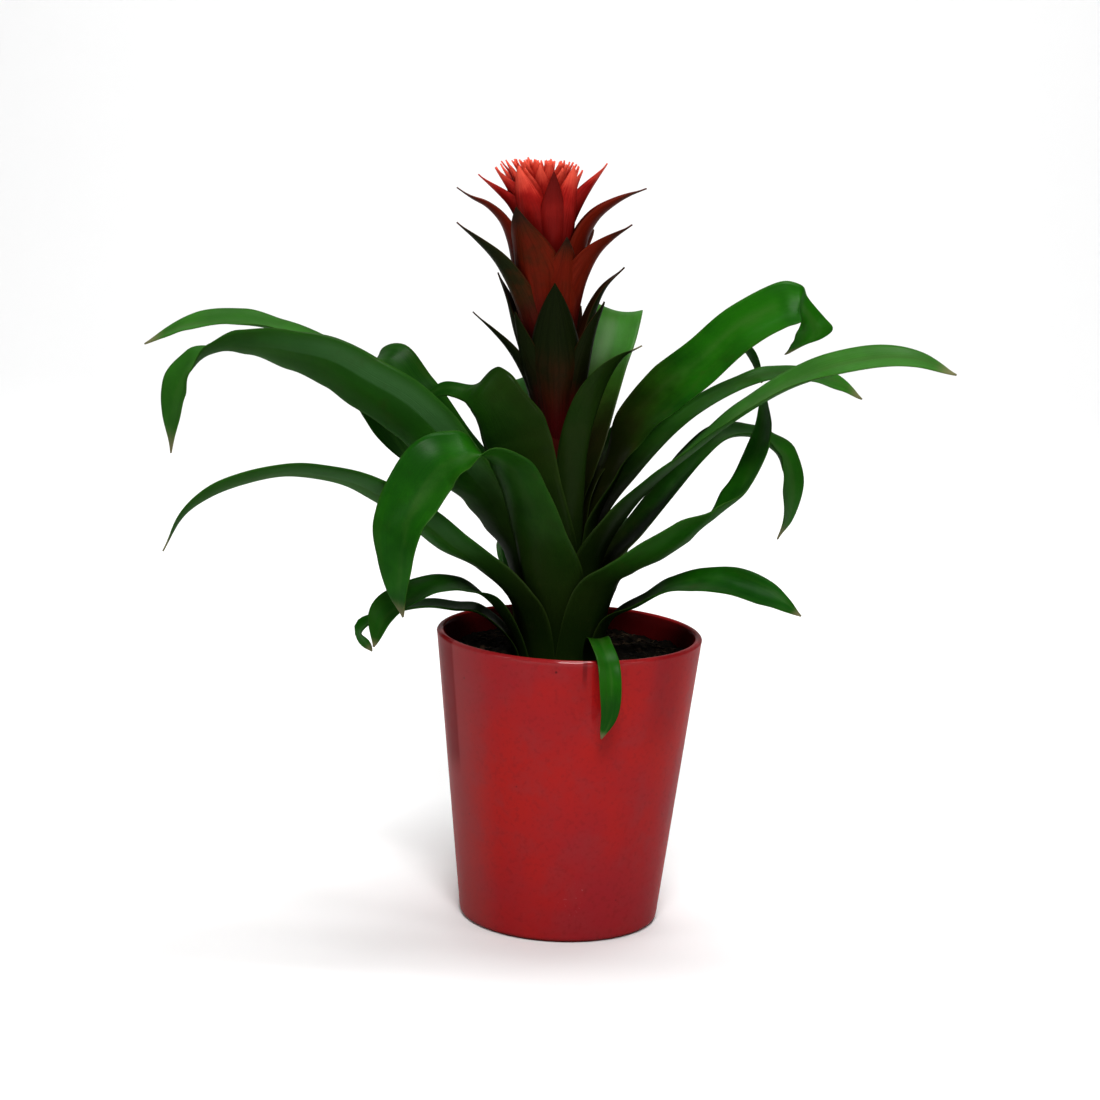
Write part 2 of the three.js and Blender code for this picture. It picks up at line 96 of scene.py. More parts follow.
# Potting mix: its clearances, its underside and rounded heel, and what makes up its surface
MIX_CLEARANCE = 0.4
MIX_BELOW_NEST = 0.3
MIX_UNDERSIDE = 6.4
MIX_HEEL_TOP = 10.0
MIX_HEEL = 3.5
MIX_RINGS, MIX_SEGMENTS = 46, 180
FLAKES, FIBRES = 420, 150
FLAKE_SIZE = (2.4, 1.5, 0.55)

# Photograph's camera, in metres and degrees, with its lens and sensor in mm
CAMERA_TARGET = (-0.0117, 0, 0.1917)
CAMERA_DISTANCE = 1.4
CAMERA_TILT, CAMERA_ROLL = 11.0, 2.35
CAMERA_LENS, CAMERA_SENSOR = 90.0, 36.0

# Paper under and behind the pot
PAPER_REACH, PAPER_BACK, PAPER_CURVE, PAPER_TOP = 3200, 1900, 900, 3400

# Each light: place, target and size in metres, and its power as a share of the key light's
LIGHTS = {
    "key": ((0.05, -1.35, 1.65), (0, 0, 0.25), (0.6, 0.6), 1.0),
    "left fill": ((-1.5, -0.8, 1.0), (0, 0, 0.25), (0.5, 0.9), 0.14),
    "right fill": ((1.5, -0.8, 1.0), (0, 0, 0.25), (0.5, 0.9), 0.14),
    "top": ((0.2, 0.3, 2.0), (0, 0.1, 0.2), (0.8, 0.8), 0.7),
    "backdrop": ((0, 1.0, 2.4), (0, 2.6, 0.9), (2.6, 0.6), 1.4),
}
WORLD_STRENGTH = 0.15

# Each leaf: azimuth of its sheath in degrees, layer of the nest, width, and midrib points from the plant's
# axis, as (x, y, z) or, where the blade is turned about its midrib, (x, y, z, roll)
LEAVES = {
    "over_rim": (318, 11, 11, (
        (18, -25, 149), (19, -41, 155.5), (20.5, -57, 156), (24, -69, 150), (25.5, -74, 139),
        (25.5, -74.2, 126), (22, -72.5, 113))),
    "low_left_back": (178, 11, 20, (
        (-42, 0, 158), (-54, 2, 159), (-67, 3, 160), (-82, 4, 157), (-95, 5, 151), (-103, 6, 144, -20),
        (-96, 5, 134, -60))),
    "low_left_front": (196, 10, 20, (
        (-36, -10, 166, 10), (-51, -15, 174, -10), (-64, -20, 175, -15), (-77, -24, 170, -22),
        (-89, -27, 161, -34), (-93, -29, 144, -24))),
    "low_right": (345, 10, 24, (
        (26, -8, 158), (40, -12, 168, 5), (53, -17, 178, 10), (69, -22, 183, 18), (85, -28, 184, 22),
        (100, -33, 180, 22), (110, -37, 176, 15), (119, -40, 171, 10))),
    "left_arching": (212, 8, 33, (
        (-22, -15, 166), (-38, -20, 184, 10), (-56, -27, 197, 20), (-70, -32, 209, 20), (-90, -38, 222, 20),
        (-105, -43, 230, 19), (-122, -48, 234, 18), (-138, -52, 235, 18), (-157, -57, 231, 20),
        (-173, -61, 224, 21), (-185, -64, 214, 20), (-194, -66, 196, 18))),
    "turned_up_right": (308, 9, 30, (
        (20, -23, 177), (31, -27, 187, -5), (46, -30, 198, -15), (60, -30, 208, -15), (74, -27, 218, 5),
        (86, -22, 230, 24), (94, -15, 245, 24), (98, -8, 260, 22), (97.5, -2, 272, 20), (97, 3, 278, 15))),
    "front_left": (262, 7, 33, (
        (-5, -28, 179), (-14, -37, 206, -10), (-22, -43, 228, -12), (-30, -48, 243, -8), (-41, -52, 249),
        (-52, -54, 248, -18), (-64, -56, 242, -30), (-74, -60, 227, -25), (-80, -63, 213, -14),
        (-81, -64, 195, -6), (-80, -63, 178, -3), (-77, -60, 167))),
    "right_drooping": (12, 8, 32, (
        (24, 6, 182), (38, 11, 201), (52, 16, 221), (66, 20, 240, 2), (79, 24, 251, 2), (94, 28, 252, 4),
        (106, 31, 246, 16), (114, 33, 237, 34), (117, 34, 222, 45), (116, 34, 207, 42), (111, 33, 196, 35))),
    "right_long": (334, 6, 34, (
        (18, -10, 188), (30, -14, 213), (47, -19, 235, 4), (66, -24, 254, 8), (84, -28, 270, 12),
        (105, -32, 285, 14), (126, -36, 295, 16), (150, -40, 301, 16), (169, -43, 301, 16),
        (187, -46, 295, 16))),
    "left_long": (214, 6, 33, (
        (-26, -15, 190), (-34, -17, 206, 15), (-41, -18, 220, 30), (-53, -20, 234, 42), (-70, -21, 254, 55),
        (-85, -21, 266, 62), (-102, -20, 275, 62), (-119, -18, 284, 55), (-141, -15, 289, 42),
        (-163, -13, 291, 28), (-177, -12, 289, 11), (-190, -11, 281, -15), (-197, -10, 268, -35),
        (-199, -9, 254, -38), (-199, -8, 235, -25))),
    "left_rear": (170, 5, 30, (
        (-22, 4, 189), (-37, 9, 216), (-58, 15, 239), (-84, 23, 260), (-111, 31, 279), (-135, 36, 290),
        (-153, 40, 295.5), (-174, 44, 298, -10), (-198, 48, 294.5, -22), (-211, 50, 288.5, -26),
        (-222, 51, 282, -26))),
    "left_hooked": (140, 4, 32, (
        (-15, 12, 186), (-27, 23, 211, 6), (-54, 45, 235, 8), (-82, 60, 264, -5), (-98, 70, 279, -10),
        (-107, 78, 274, -14), (-109, 84, 263, -6), (-101, 86, 250), (-95, 84, 238), (-87, 79, 227),
        (-78, 72, 218))),
    "right_thin": (30, 5, 22, (
        (16, 9, 204), (33, 18, 230), (52, 26, 252), (68, 32, 265), (88, 38, 275), (106, 43, 281, 8),
        (124, 48, 280, 20), (141, 52, 276, 42), (153, 55, 268, 48))),
    "right_upper": (0, 4, 34, (
        (16, 2, 204), (27, 3, 234, 5), (36, 4, 258, 25), (51, 5, 276, 36))),
    "right_back_tip": (62, 3, 18, (
        (5.5, 10.5, 190), (8, 14.5, 222), (25, 34, 243), (48, 46, 266), (69, 56, 286), (82, 60, 296),
        (91, 64, 292), (97, 66, 284), (101, 66, 273))),
    "left_broad": (237, 2, 37, (
        (-7, -11, 173), (-12, -15, 200, 5), (-19, -20, 223, 15), (-25, -22, 245, 30))),
    "back_left": (112, 2, 26, (
        (-4, 9.5, 184), (-5.5, 13.5, 222), (-12, 29, 249), (-20, 44, 265), (-29, 56, 271), (-38, 66, 267),
        (-46, 74, 259), (-54, 80, 253))),
    "back_upright": (80, 1, 27, (
        (1.5, 8, 190), (3, 11, 222), (10, 26, 252), (16, 42, 278, 4), (21, 62, 295, 10), (24, 84, 306, 10),
        (24, 104, 303, 4), (20, 122, 289), (17, 136, 270), (15, 146, 250))),
    "inner_upright": (285, 1, 15, (
        (3, -11, 189), (2, -16, 221), (3, -20, 247), (6, -21, 262), (11, -20, 275), (18, -18, 286),
        (26, -15, 294), (35, -12, 299))),
    "back_long": (92, 6, 20, (
        (2, 30, 194), (3, 52, 218), (4, 84, 238), (5, 120, 246), (6, 156, 239), (6, 190, 219),
        (5, 212, 192))),
    "back_arching": (108, 9, 30, (
        (-9, 30, 172), (-14, 56, 198), (-18, 92, 213), (-20, 130, 210), (-21, 162, 192), (-21, 184, 165))),
    "back_right_low": (64, 11, 28, (
        (15, 31, 163), (22, 56, 183), (29, 90, 193), (34, 124, 186), (37, 150, 168))),
    "back_left_low": (126, 12, 26, (
        (-15, 28, 156), (-19, 50, 172), (-22, 82, 178), (-24, 112, 168), (-25, 134, 148))),
}

# Ends that fold over: they follow the last point of the leaf's midrib, as pairs of places on its two margins
FOLDED_ENDS = {
    "right_upper": (
        ((72, -7.5, 283), (60, 17, 299.5)), ((88.5, -6, 299), (79, 18.5, 317)),
        ((104, -6, 309), (101.5, 19, 330)), ((108, -6, 311.5), (107.5, 19, 331.5)),
        ((111.5, -6, 313), (113, 19, 330.5)), ((114, -5, 314), (116, 19, 329)),
        ((115, 2, 313), (118.5, 24, 323.5)), ((115, 9, 311), (123, 27, 318)),
        ((114.5, 14, 308), (128.5, 28, 312.5)), ((113.5, 17, 305), (132.5, 27, 308.5)),
        ((113, 18, 302), (132, 26, 306)), ((111.5, 18, 299.5), (127, 24, 302.5)),
        ((110.5, 19, 297), (119, 22, 299.5)), ((108.5, 20, 294), (109, 20, 294))),
    "left_broad": (
        ((-41.5, -12, 245), (-10, -23, 257.5)), ((-43, -13, 249.5), (-13, -22, 264.5)),
        ((-44, -13, 253.5), (-17.5, -21, 269.5)), ((-45, -13, 256.5), (-23, -20, 275)),
        ((-46.5, -13, 260), (-29, -18, 282.5)), ((-47.5, -13, 261.5), (-33, -16, 285)),
        ((-48.5, -13, 263), (-36, -14, 286)), ((-49.5, -12, 264.5), (-39, -11, 284.5)),
        ((-50.5, -11, 265.5), (-41.5, -8, 282)), ((-52, -9, 267), (-43.5, -5, 279)),
        ((-54.5, -7, 268), (-45, -3, 277)), ((-56.5, -5, 268.5), (-48, -1, 275)),
        ((-59.5, -3, 269), (-51.5, 1, 274.5)), ((-62.5, 0, 269), (-58, 4, 275)),
        ((-67.5, 4, 267), (-64, 7, 274.5)), ((-73, 8, 261.5), (-70.5, 10, 270)),
        ((-78, 11, 257), (-78, 11, 257.5))),
}

# How pale a leaf is, and below 0 how dark. The paleness is partly a leaf's own paler green and partly painted
# sheen, as on right_long. The others draw a small value.
PALE_LEAVES = {
    "back_upright": 0.55, "left_rear": 0.5, "front_left": 0.14, "right_long": 0.6, "right_thin": 0.5,
    "left_long": 0.4, "left_arching": 0.25, "left_hooked": -0.7, "right_upper": 0.05,
}

# How strong the painted sheen beside a leaf's middle fold is
PAINTED_SHEEN_LEAVES = {"left_long": 1.0, "left_arching": 0.8}

# Each bract: azimuth in degrees, width, redness from 0 (dark green) to 1, and its midrib as (distance from
# the spike's axis, height)
STALK_BRACTS = (
    (140, 14, 0.2, ((4, 198), (7, 214), (10, 232), (15, 248), (22, 262))),
    (20, 14, 0.2, ((5, 206), (8, 222), (12, 240), (17, 256), (25, 270))),
    (276, 44, 0.30, ((9, 246), (13, 262), (19, 288), (22, 306), (25, 319), (29, 330))),
    (190, 24, 0.05, ((9, 248), (12, 264), (16, 279), (23, 293), (31, 303), (40, 312))),
    (222, 26, 0.15, ((9, 258), (15, 276), (20, 292), (22, 303), (24, 314))),
    (325, 24, 0.05, ((9, 254), (15, 268), (19, 283), (23, 298), (27, 309), (33, 321))),
    (10, 24, 0.35, ((10, 262), (15, 280), (19, 298), (23, 314), (29, 326), (39, 336))),
    (165, 24, 0.1, ((10, 266), (15, 284), (20, 302), (23, 318), (27, 331))),
    (60, 26, 0.2, ((9, 250), (13, 266), (18, 284), (23, 300), (30, 314))),
    (108, 26, 0.2, ((10, 262), (15, 280), (20, 298), (24, 314), (30, 328))),
)
OUTER_BRACTS = (
    (205, 28, 0.25, ((11, 294), (15, 304), (18, 314), (22, 325), (29, 338), (38, 348), (48, 357))),
    (340, 34, 0.75, ((11, 296), (13, 308), (16, 320), (20, 331), (27, 343), (35, 351), (46, 359))),
    (240, 46, 0.60, ((11, 300), (15, 314), (18, 330), (21, 345), (25, 357), (27, 366))),
    (300, 36, 0.72, ((11, 296), (15, 312), (18, 330), (20, 342), (21, 352))),
    (185, 32, 0.9, ((11, 306), (15, 320), (18, 334), (20, 348), (23, 357), (29, 364), (36, 368), (43, 373))),
    (0, 34, 0.9, ((11, 306), (15, 322), (18, 338), (21, 350), (27, 360), (35, 367), (43, 372), (52, 376))),
    (45, 30, 0.7, ((11, 300), (15, 314), (18, 328), (25, 342), (34, 353))),
    (90, 32, 0.7, ((11, 310), (15, 326), (18, 340), (23, 352), (31, 364))),
    (132, 32, 0.7, ((11, 304), (15, 320), (18, 334), (24, 346), (33, 356))),
)
CROWN_FRONT = (
    (285, 22, 0.1, ((10, 333), (14, 345), (18.5, 358), (22.5, 371), (25.5, 384))),
    (190, 26, 0.4, ((10, 345), (14, 356), (18, 365), (23, 371), (32, 380))),
    (205, 26, 0.5, ((10, 350), (14, 362), (18, 372), (25, 384))),
    (350, 26, 0.5, ((10, 346), (14, 356), (18, 364), (24, 374), (34, 388))),
    (245, 28, 0.6, ((10, 338), (15, 350), (19, 364), (22.5, 376), (25, 386))),
    (312, 28, 0.6, ((10, 338), (15, 350), (19, 364), (22.5, 376), (25, 387))),
)

# Each spiral of the crown: count, and width, foot radius, foot height, tip radius and tip height of its
# outermost and its innermost bract
CROWN_SPIRALS = (
    (26, (20, 10, 346, 24, 384), (14, 7, 356, 12, 389)),
    (40, (9, 9, 362, 21, 387), (5, 2, 368, 3, 388)),
)
SPIRAL_START = 60
SPIRAL_CURVE = ((0, 0), (0.4, 0.4), (0.65, 0.75), (1, 1))

# Cores of the spike, as (radius, height), with 0.3 mm between one part and the next
CORE_SEGMENTS = 48
STALK_CORE = ((0, 134.3), (4.6, 134.3), (4.6, 190), (7, 221), (10, 250), (12, 285), (12, 292), (0, 292))
OUTER_CORE = ((0, 292.3), (12, 292.3), (12.5, 330), (0, 330))
CROWN_CORE = ((0, 330.3), (12, 330.3), (11.5, 352), (8, 368), (0, 372))


# Curves and blades


def smoothstep(x, low=0.0, high=1.0):
    """0 below low, 1 above high, and 3t^2 - 2t^3 between them."""
    t = np.clip((x - low) / (high - low), 0, 1)
    return t * t * (3 - 2 * t)


def midrib(points, stations):
    """Centripetal Catmull-Rom curve through the points, read at equal steps of its length.

    Each span is a cubic from one point to the next, whose end slopes come from the points on either side,
    weighted by the square root of their distances. Returns places, unit tangents, shares of the way through
    the list, and the length.
    """
    p = np.asarray(points, float)
    p = np.vstack([2 * p[0] - p[1], p, 2 * p[-1] - p[-2]])
    step = np.sqrt(np.linalg.norm(np.diff(p, axis=0), axis=1))[:, None]
    a, b, c, d = p[:-3], p[1:-2], p[2:-1], p[3:]
    ta, tb, tc = step[:-2], step[1:-1], step[2:]
    slope_b = ((b - a) / ta - (c - a) / (ta + tb) + (c - b) / tb) * tb
    slope_c = ((c - b) / tb - (d - b) / (tb + tc) + (d - c) / tc) * tb
    w = np.linspace(0, 1, 65)[None, :-1, None]
    cubic = (
        b[:, None]
        + slope_b[:, None] * w
        + (3 * (c - b) - 2 * slope_b - slope_c)[:, None] * w**2
        + (2 * (b - c) + slope_b + slope_c)[:, None] * w**3
    ).reshape(-1, p.shape[1])
    dense = np.vstack([cubic, c[-1]])
    run = np.concatenate([[0], np.cumsum(np.linalg.norm(np.diff(dense, axis=0), axis=1))])
    at = np.linspace(0, run[-1], stations)
    slope = np.gradient(dense, run, axis=0)
    tables = dense, slope
    place, tangent = (np.stack([np.interp(at, run, column) for column in table.T], -1) for table in tables)
    tangent /= np.linalg.norm(tangent, axis=1, keepdims=True)
    return place, tangent, np.interp(at, run, np.linspace(0, 1, len(dense))), run[-1]


def station_count(points, spacing):
    """Number of stations that lie about one spacing apart along the curve."""
    return max(int(round(midrib(points, 3)[3] / spacing)), LEAST_STATIONS)


def along(values, share):
    """A value that runs smoothly through a list spread evenly over 0..1."""
    values = np.asarray(values, float)
    x = np.clip(share, 0, 1) * (len(values) - 1)
    i = np.minimum(x.astype(int), len(values) - 2)
    return values[i] + (values[i + 1] - values[i]) * smoothstep(x - i)


def strap_outline(share):
    """Straight edges that round in to a point: 1 - (1 - t)^3, with t the distance to the tip."""
    return 1 - (1 - np.minimum((1 - share) / TIP_SHARE, 1)) ** 3


def bract_outline(share):
    """Broad at the foot, then drawn out to a fine point: (1 - t^1.7)(1 - 0.12t)."""
    t = np.clip((share - 0.3) / 0.7, 0, 1)
    return (1 - t**1.7) * (1 - 0.12 * t)


class BladeForm(NamedTuple):
    """A kind of blade: outline, half angle of its channel and the power of the outline that it goes with,
    share of the way that it sinks to lie evenly about its midrib, and height of its waves."""

    outline: object
    channel: float
    narrowing: float
    sunk: float
    wave: float


LEAF = BladeForm(strap_outline, math.radians(26), 1.0, 1.0, 0.45)
BRACT = BladeForm(bract_outline, math.radians(80), 0.5, 0.0, 0.0)


class Stations(NamedTuple):
    """Sections of a blade, in order: middle, side, up, half width and half angle of the arc."""

    place: np.ndarray
    side: np.ndarray
    up: np.ndarray
    half: np.ndarray
    bend: np.ndarray

    def rise(self):
        """Height of an arc's ends over its middle: R * (1 - cos b), with R the half width over b."""
        return self.half / self.bend * (1 - np.cos(self.bend))

    def lowered(self, share):
        """The stations, moved down by a share of their arcs' rise."""
        return self._replace(place=self.place - self.up * (share * self.rise())[:, None])


def level_sides(place, tangent, roll):
    """Side and up at every place of a midrib: the level direction round the plant's axis, made square to the
    tangent, and what is square to both, turned round the tangent by the roll."""
    level = np.stack([-place[:, 1], place[:, 0], np.zeros(len(place))], -1)
    level /= np.hypot(*place[:, :2].T)[:, None]
    side = level - tangent * np.sum(level * tangent, 1, keepdims=True)
    side /= np.linalg.norm(side, axis=1, keepdims=True)
    up = np.cross(tangent, side)
    c, s = np.cos(roll)[:, None], np.sin(roll)[:, None]
    return side * c + up * s, up * c - side * s


def midrib_stations(path, width, form, spacing, straight):
    """Stations along a midrib, the midrib's distances from the plant's axis, and its length.

    Near the stem the half angle of each arc wraps it round the plant's axis, and further out it is the
    blade's own shallow channel. A straight blade keeps its width to the end.
    """
    points = [q[:3] for q in path]
    place, tangent, order, length = midrib(points, station_count(points, spacing))
    roll = np.radians(along([(*q, 0)[3] for q in path], order))
    reach = np.hypot(*place[:, :2].T)
    outline = np.ones(len(place)) if straight else form.outline(np.linspace(0, 1, len(place)))
    hug = np.maximum(tangent[:, 2], 0) / reach * np.cos(roll) ** 2
    half = width * outline / 2 + LEAST_HALF_WIDTH
    half = np.where(hug > 0, np.minimum(half, SHEATH_WRAP / np.maximum(hug, 1e-9)), half)
    bend = np.maximum(half * hug, form.channel * outline**form.narrowing + LEAST_BEND)
    blade = Stations(place, *level_sides(place, tangent, roll), half, bend)
    return blade.lowered(form.sunk * smoothstep(reach, SHEATH_REACH, BLADE_REACH) / 2), reach, length


def folded_end(blade, width, channel, margins, spacing):
    """Stations that carry a blade on between its two margins, from those of its own last stations.

    One curve runs through pairs of places on both margins at once. Each pair is the chord of an arc: the side
    lies along it, the tangent is the slope of its middle made square to the side, and the half angle b goes
    with its width. The arc's half width is half the chord * b / sin b, and its middle lies one rise below the
    chord.
    """
    edge = blade.side * (blade.half / blade.bend * np.sin(blade.bend))[:, None]
    top = blade.place + blade.up * blade.rise()[:, None]
    pairs = [*((top[k] - edge[k], top[k] + edge[k]) for k in (-8, -1)), *margins]
    both = np.array([[*low, *high] for low, high in pairs])
    curve, _, order, _ = midrib(both, station_count(both, spacing))
    low, high = np.split(curve[order >= 1 / (len(both) - 1)], 2, axis=1)
    place = (low + high) / 2
    chord = np.linalg.norm(high - low, axis=1) / 2
    side = (high - low) / np.maximum(2 * chord, 1e-6)[:, None]
    tangent = np.gradient(place, axis=0)
    tangent -= side * np.sum(tangent * side, 1, keepdims=True)
    tangent /= np.linalg.norm(tangent, axis=1, keepdims=True)
    bend = channel * np.minimum(2 * chord / width, 1) + LEAST_BEND
    half = (chord + LEAST_HALF_WIDTH) * bend / np.sin(bend)
    stations = place, side, np.cross(tangent, side), half, bend
    return Stations(*(values[1:] for values in stations)).lowered(1.0)


def margin_waves(share, reach, length, u, height, phase):
    """Waves of a blade's margins: height * u^2 * (sin(d / 17 + phase + 1.3u) + 0.6 sin(d / 8.3 + 2 phase)),
    with d the distance along it. They come in away from the stem and die out at the tip."""
    free = smoothstep(reach, WAVES_FROM, WAVES_FULL)[:, None] * smoothstep(1 - share, 0.02, 0.2)
    long_wave = np.sin(share * length / LONG_WAVE + phase + 1.3 * u)
    short_wave = 0.6 * np.sin(share * length / SHORT_WAVE + 2 * phase)
    return height * free * (long_wave + short_wave) * u**2


def blade_rings(path, width, form, settings, phase=0.0, end=()):
    """Rings of a blade swept along its midrib.

    Each section is an arc: a point at u from -1 to 1 lies at side*R*sin(b*u) + up*R*(1 - cos(b*u)), moved by
    the margins' waves. The over face lies one thickness along the arc's normal, and thins towards the
    margins. Where an end is given, it carries the blade on between its two margins. Returns the rings, and
    for every ring point u, the share of the length, and 1 on the over face.
    """
    blade, reach, length = midrib_stations(path, width, form, settings.spacing, straight=bool(end))
    if end:
        more = folded_end(blade, width, form.channel, end, settings.spacing)
        blade = Stations(*(np.concatenate(pair) for pair in zip(blade, more)))
        reach, length = np.hypot(*blade.place[:, :2].T), settings.spacing * len(blade.place)
    share = np.linspace(0, 1, len(blade.place))[:, None]
    u = np.linspace(-1, 1, settings.across)
    swing = blade.bend[:, None] * u
    radius = (blade.half / blade.bend)[:, None]
    side, up = blade.side[:, None], blade.up[:, None]
    point = blade.place[:, None] + side * (radius * np.sin(swing))[..., None]
    point = point + up * (radius * (1 - np.cos(swing)))[..., None]
    normal = up * np.cos(swing)[..., None] - side * np.sin(swing)[..., None]
    point = point + normal * margin_waves(share, reach, length, u, form.wave, phase)[..., None]
    over = point + normal * (settings.thickness * (1 - MARGIN_THINNING * u**4))[None, :, None]
    rings = np.concatenate([point, over[:, ::-1]], 1)
    around = np.concatenate([u, u[::-1]]), share, np.repeat([0.0, 1.0], settings.across)
    return rings, *(np.broadcast_to(values, rings.shape[:2]) for values in around)


# Meshes


def ring_quads(rings, count, first=0):
    """Quads all the way round between neighbouring rings of count points, which are numbered from first."""
    i, j = np.meshgrid(np.arange(rings - 1), np.arange(count), indexing="ij")
    a, b = first + i * count + j, first + i * count + (j + 1) % count
    return np.stack([a, b, b + count, a + count], -1).reshape(-1, 4)


def blade_faces(rings, count):
    """Quads between a blade's rings, with both ends closed by quads across the blade."""
    k = np.arange(count // 2 - 1)
    first = np.stack([count - 1 - k, count - 2 - k, k + 1, k], -1)
    last = np.stack([k, k + 1, count - 2 - k, count - 1 - k], -1) + (rings - 1) * count
    return np.concatenate([ring_quads(rings, count), first, last])


def capped_rings(rings, start, finish):
    """A closed body: quads between anticlockwise rings, and triangles to a point before and after them."""
    count, segments = rings.shape[:2]
    vertices = np.vstack([start, rings.reshape(-1, 3), finish])
    j = np.arange(segments)
    n, last = (j + 1) % segments, 1 + (count - 1) * segments
    first_cap = np.stack([np.zeros_like(j), 1 + n, 1 + j], -1)
    last_cap = np.stack([last + j, last + n, np.full_like(j, len(vertices) - 1)], -1)
    return vertices, ring_quads(count, segments, 1), np.concatenate([first_cap, last_cap])


def circle(segments):
    """Equal angles all the way round."""
    return np.linspace(0, 2 * math.pi, segments, endpoint=False)


def level_ring(angle, radius, height, middle=0.0):
    """Points of a level circle round the upright line at x = middle."""
    x, y = middle + radius * np.cos(angle), radius * np.sin(angle)
    return np.stack([x, y, np.full(len(angle), height)], -1)


def revolve(profile, segments):
    """Surface of revolution round Z: every (radius, height) of the profile at equal angles."""
    rings = [level_ring(circle(segments), radius, height) for radius, height in profile[1:-1]]
    return capped_rings(np.stack(rings), (0, 0, profile[0][1]), (0, 0, profile[-1][1]))


def mesh_object(name, vertices, quads, triangles=(), uv=None, attributes=None, smooth=True):
    """A mesh object from arrays of vertices (mm), quads and triangles, with point values as attributes."""
    quads = np.asarray(quads, np.int32).reshape(-1, 4)
    triangles = np.asarray(triangles, np.int32).reshape(-1, 3)
    mesh = bpy.data.meshes.new(name)
    mesh.vertices.add(len(vertices))
    mesh.vertices.foreach_set("co", (np.asarray(vertices, np.float32) * MM).ravel())
    corners = np.concatenate([quads.ravel(), triangles.ravel()])
    sizes = np.repeat([4, 3], [len(quads), len(triangles)])
    mesh.loops.add(len(corners))
    mesh.loops.foreach_set("vertex_index", corners)
    mesh.polygons.add(len(sizes))
    mesh.polygons.foreach_set("loop_start", np.concatenate([[0], np.cumsum(sizes)[:-1]]).astype(np.int32))
    mesh.polygons.foreach_set("use_smooth", np.full(len(sizes), smooth))
    mesh.update(calc_edges=True)
    if uv is not None:
        mesh.uv_layers.new(name="blade").data.foreach_set("uv", np.asarray(uv, np.float32)[corners].ravel())
    for key, values in (attributes or {}).items():
        mesh.attributes.new(key, "FLOAT", "POINT").data.foreach_set("value", np.asarray(values, np.float32))
    mesh.validate()
    thing = bpy.data.objects.new(name, mesh)
    bpy.context.scene.collection.objects.link(thing)
    return thing


class Heap:
    """Gathers several closed shapes into the arrays of one mesh."""

    def __init__(self):
        self.vertices, self.quads, self.triangles, self.uv, self.values = [], [], [], [], {}
        self.count = 0

    def add(self, vertices, quads=(), triangles=(), uv=None, **values):
        """Adds one shape. Each value is a number for all its points, or one for every point."""
        self.vertices.append(vertices)
        self.quads.append(np.asarray(quads, int).reshape(-1, 4) + self.count)
        self.triangles.append(np.asarray(triangles, int).reshape(-1, 3) + self.count)
        self.uv.append(np.zeros((len(vertices), 2)) if uv is None else uv)
        for key, value in values.items():
            self.values.setdefault(key, []).append(np.broadcast_to(value, len(vertices)))
        self.count += len(vertices)

    def add_blade(self, blade, place, **values):
        """Adds a blade, moved by the function place."""
        rings, u, v, over = blade
        uv = np.stack([u.ravel() / 2 + 0.5, v.ravel()], -1)
        faces = blade_faces(*rings.shape[:2])
        self.add(place(rings.reshape(-1, 3)), faces, uv=uv, over=over.ravel(), **values)

    def build(self, name, smooth=True):
        """The mesh object with all the shapes."""
        joined = {key: np.concatenate(value) for key, value in self.values.items()}
        parts = np.concatenate(self.vertices), np.concatenate(self.quads), np.concatenate(self.triangles)
        return mesh_object(name, *parts, uv=np.concatenate(self.uv), attributes=joined, smooth=smooth)


def join_body(piece, material, node=None):
    """The piece joins the one body with its material, and may take the place of a node of the solid model."""
    piece.data.materials.append(material)
    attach(piece, "root")
    if node:
        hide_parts(node)


# Materials


class Wire:
    """One output socket of a node. Python's operators on it add Math nodes."""

    def __init__(self, shader, socket):
        self.shader, self.socket = shader, socket

    def maths(self, operation, *others):
        """A Math node on this value and the others."""
        return self.shader.node("ShaderNodeMath", {"operation": operation}, self, *others)

    __add__ = __radd__ = partialmethod(maths, "ADD")
    __sub__ = partialmethod(maths, "SUBTRACT")
    __mul__ = __rmul__ = partialmethod(maths, "MULTIPLY")
    __truediv__ = partialmethod(maths, "DIVIDE")
    __pow__ = partialmethod(maths, "POWER")
    __abs__ = partialmethod(maths, "ABSOLUTE")

    def __rsub__(self, other):
        """A number minus this value."""
        return self.shader.node("ShaderNodeMath", {"operation": "SUBTRACT"}, other, self)

    def within(self, low, high):
        """0 at low, 1 at high, smooth between them."""
        settings = {"interpolation_type": "SMOOTHSTEP", "clamp": True}
        return self.shader.node("ShaderNodeMapRange", settings, self, low, high, 0.0, 1.0)


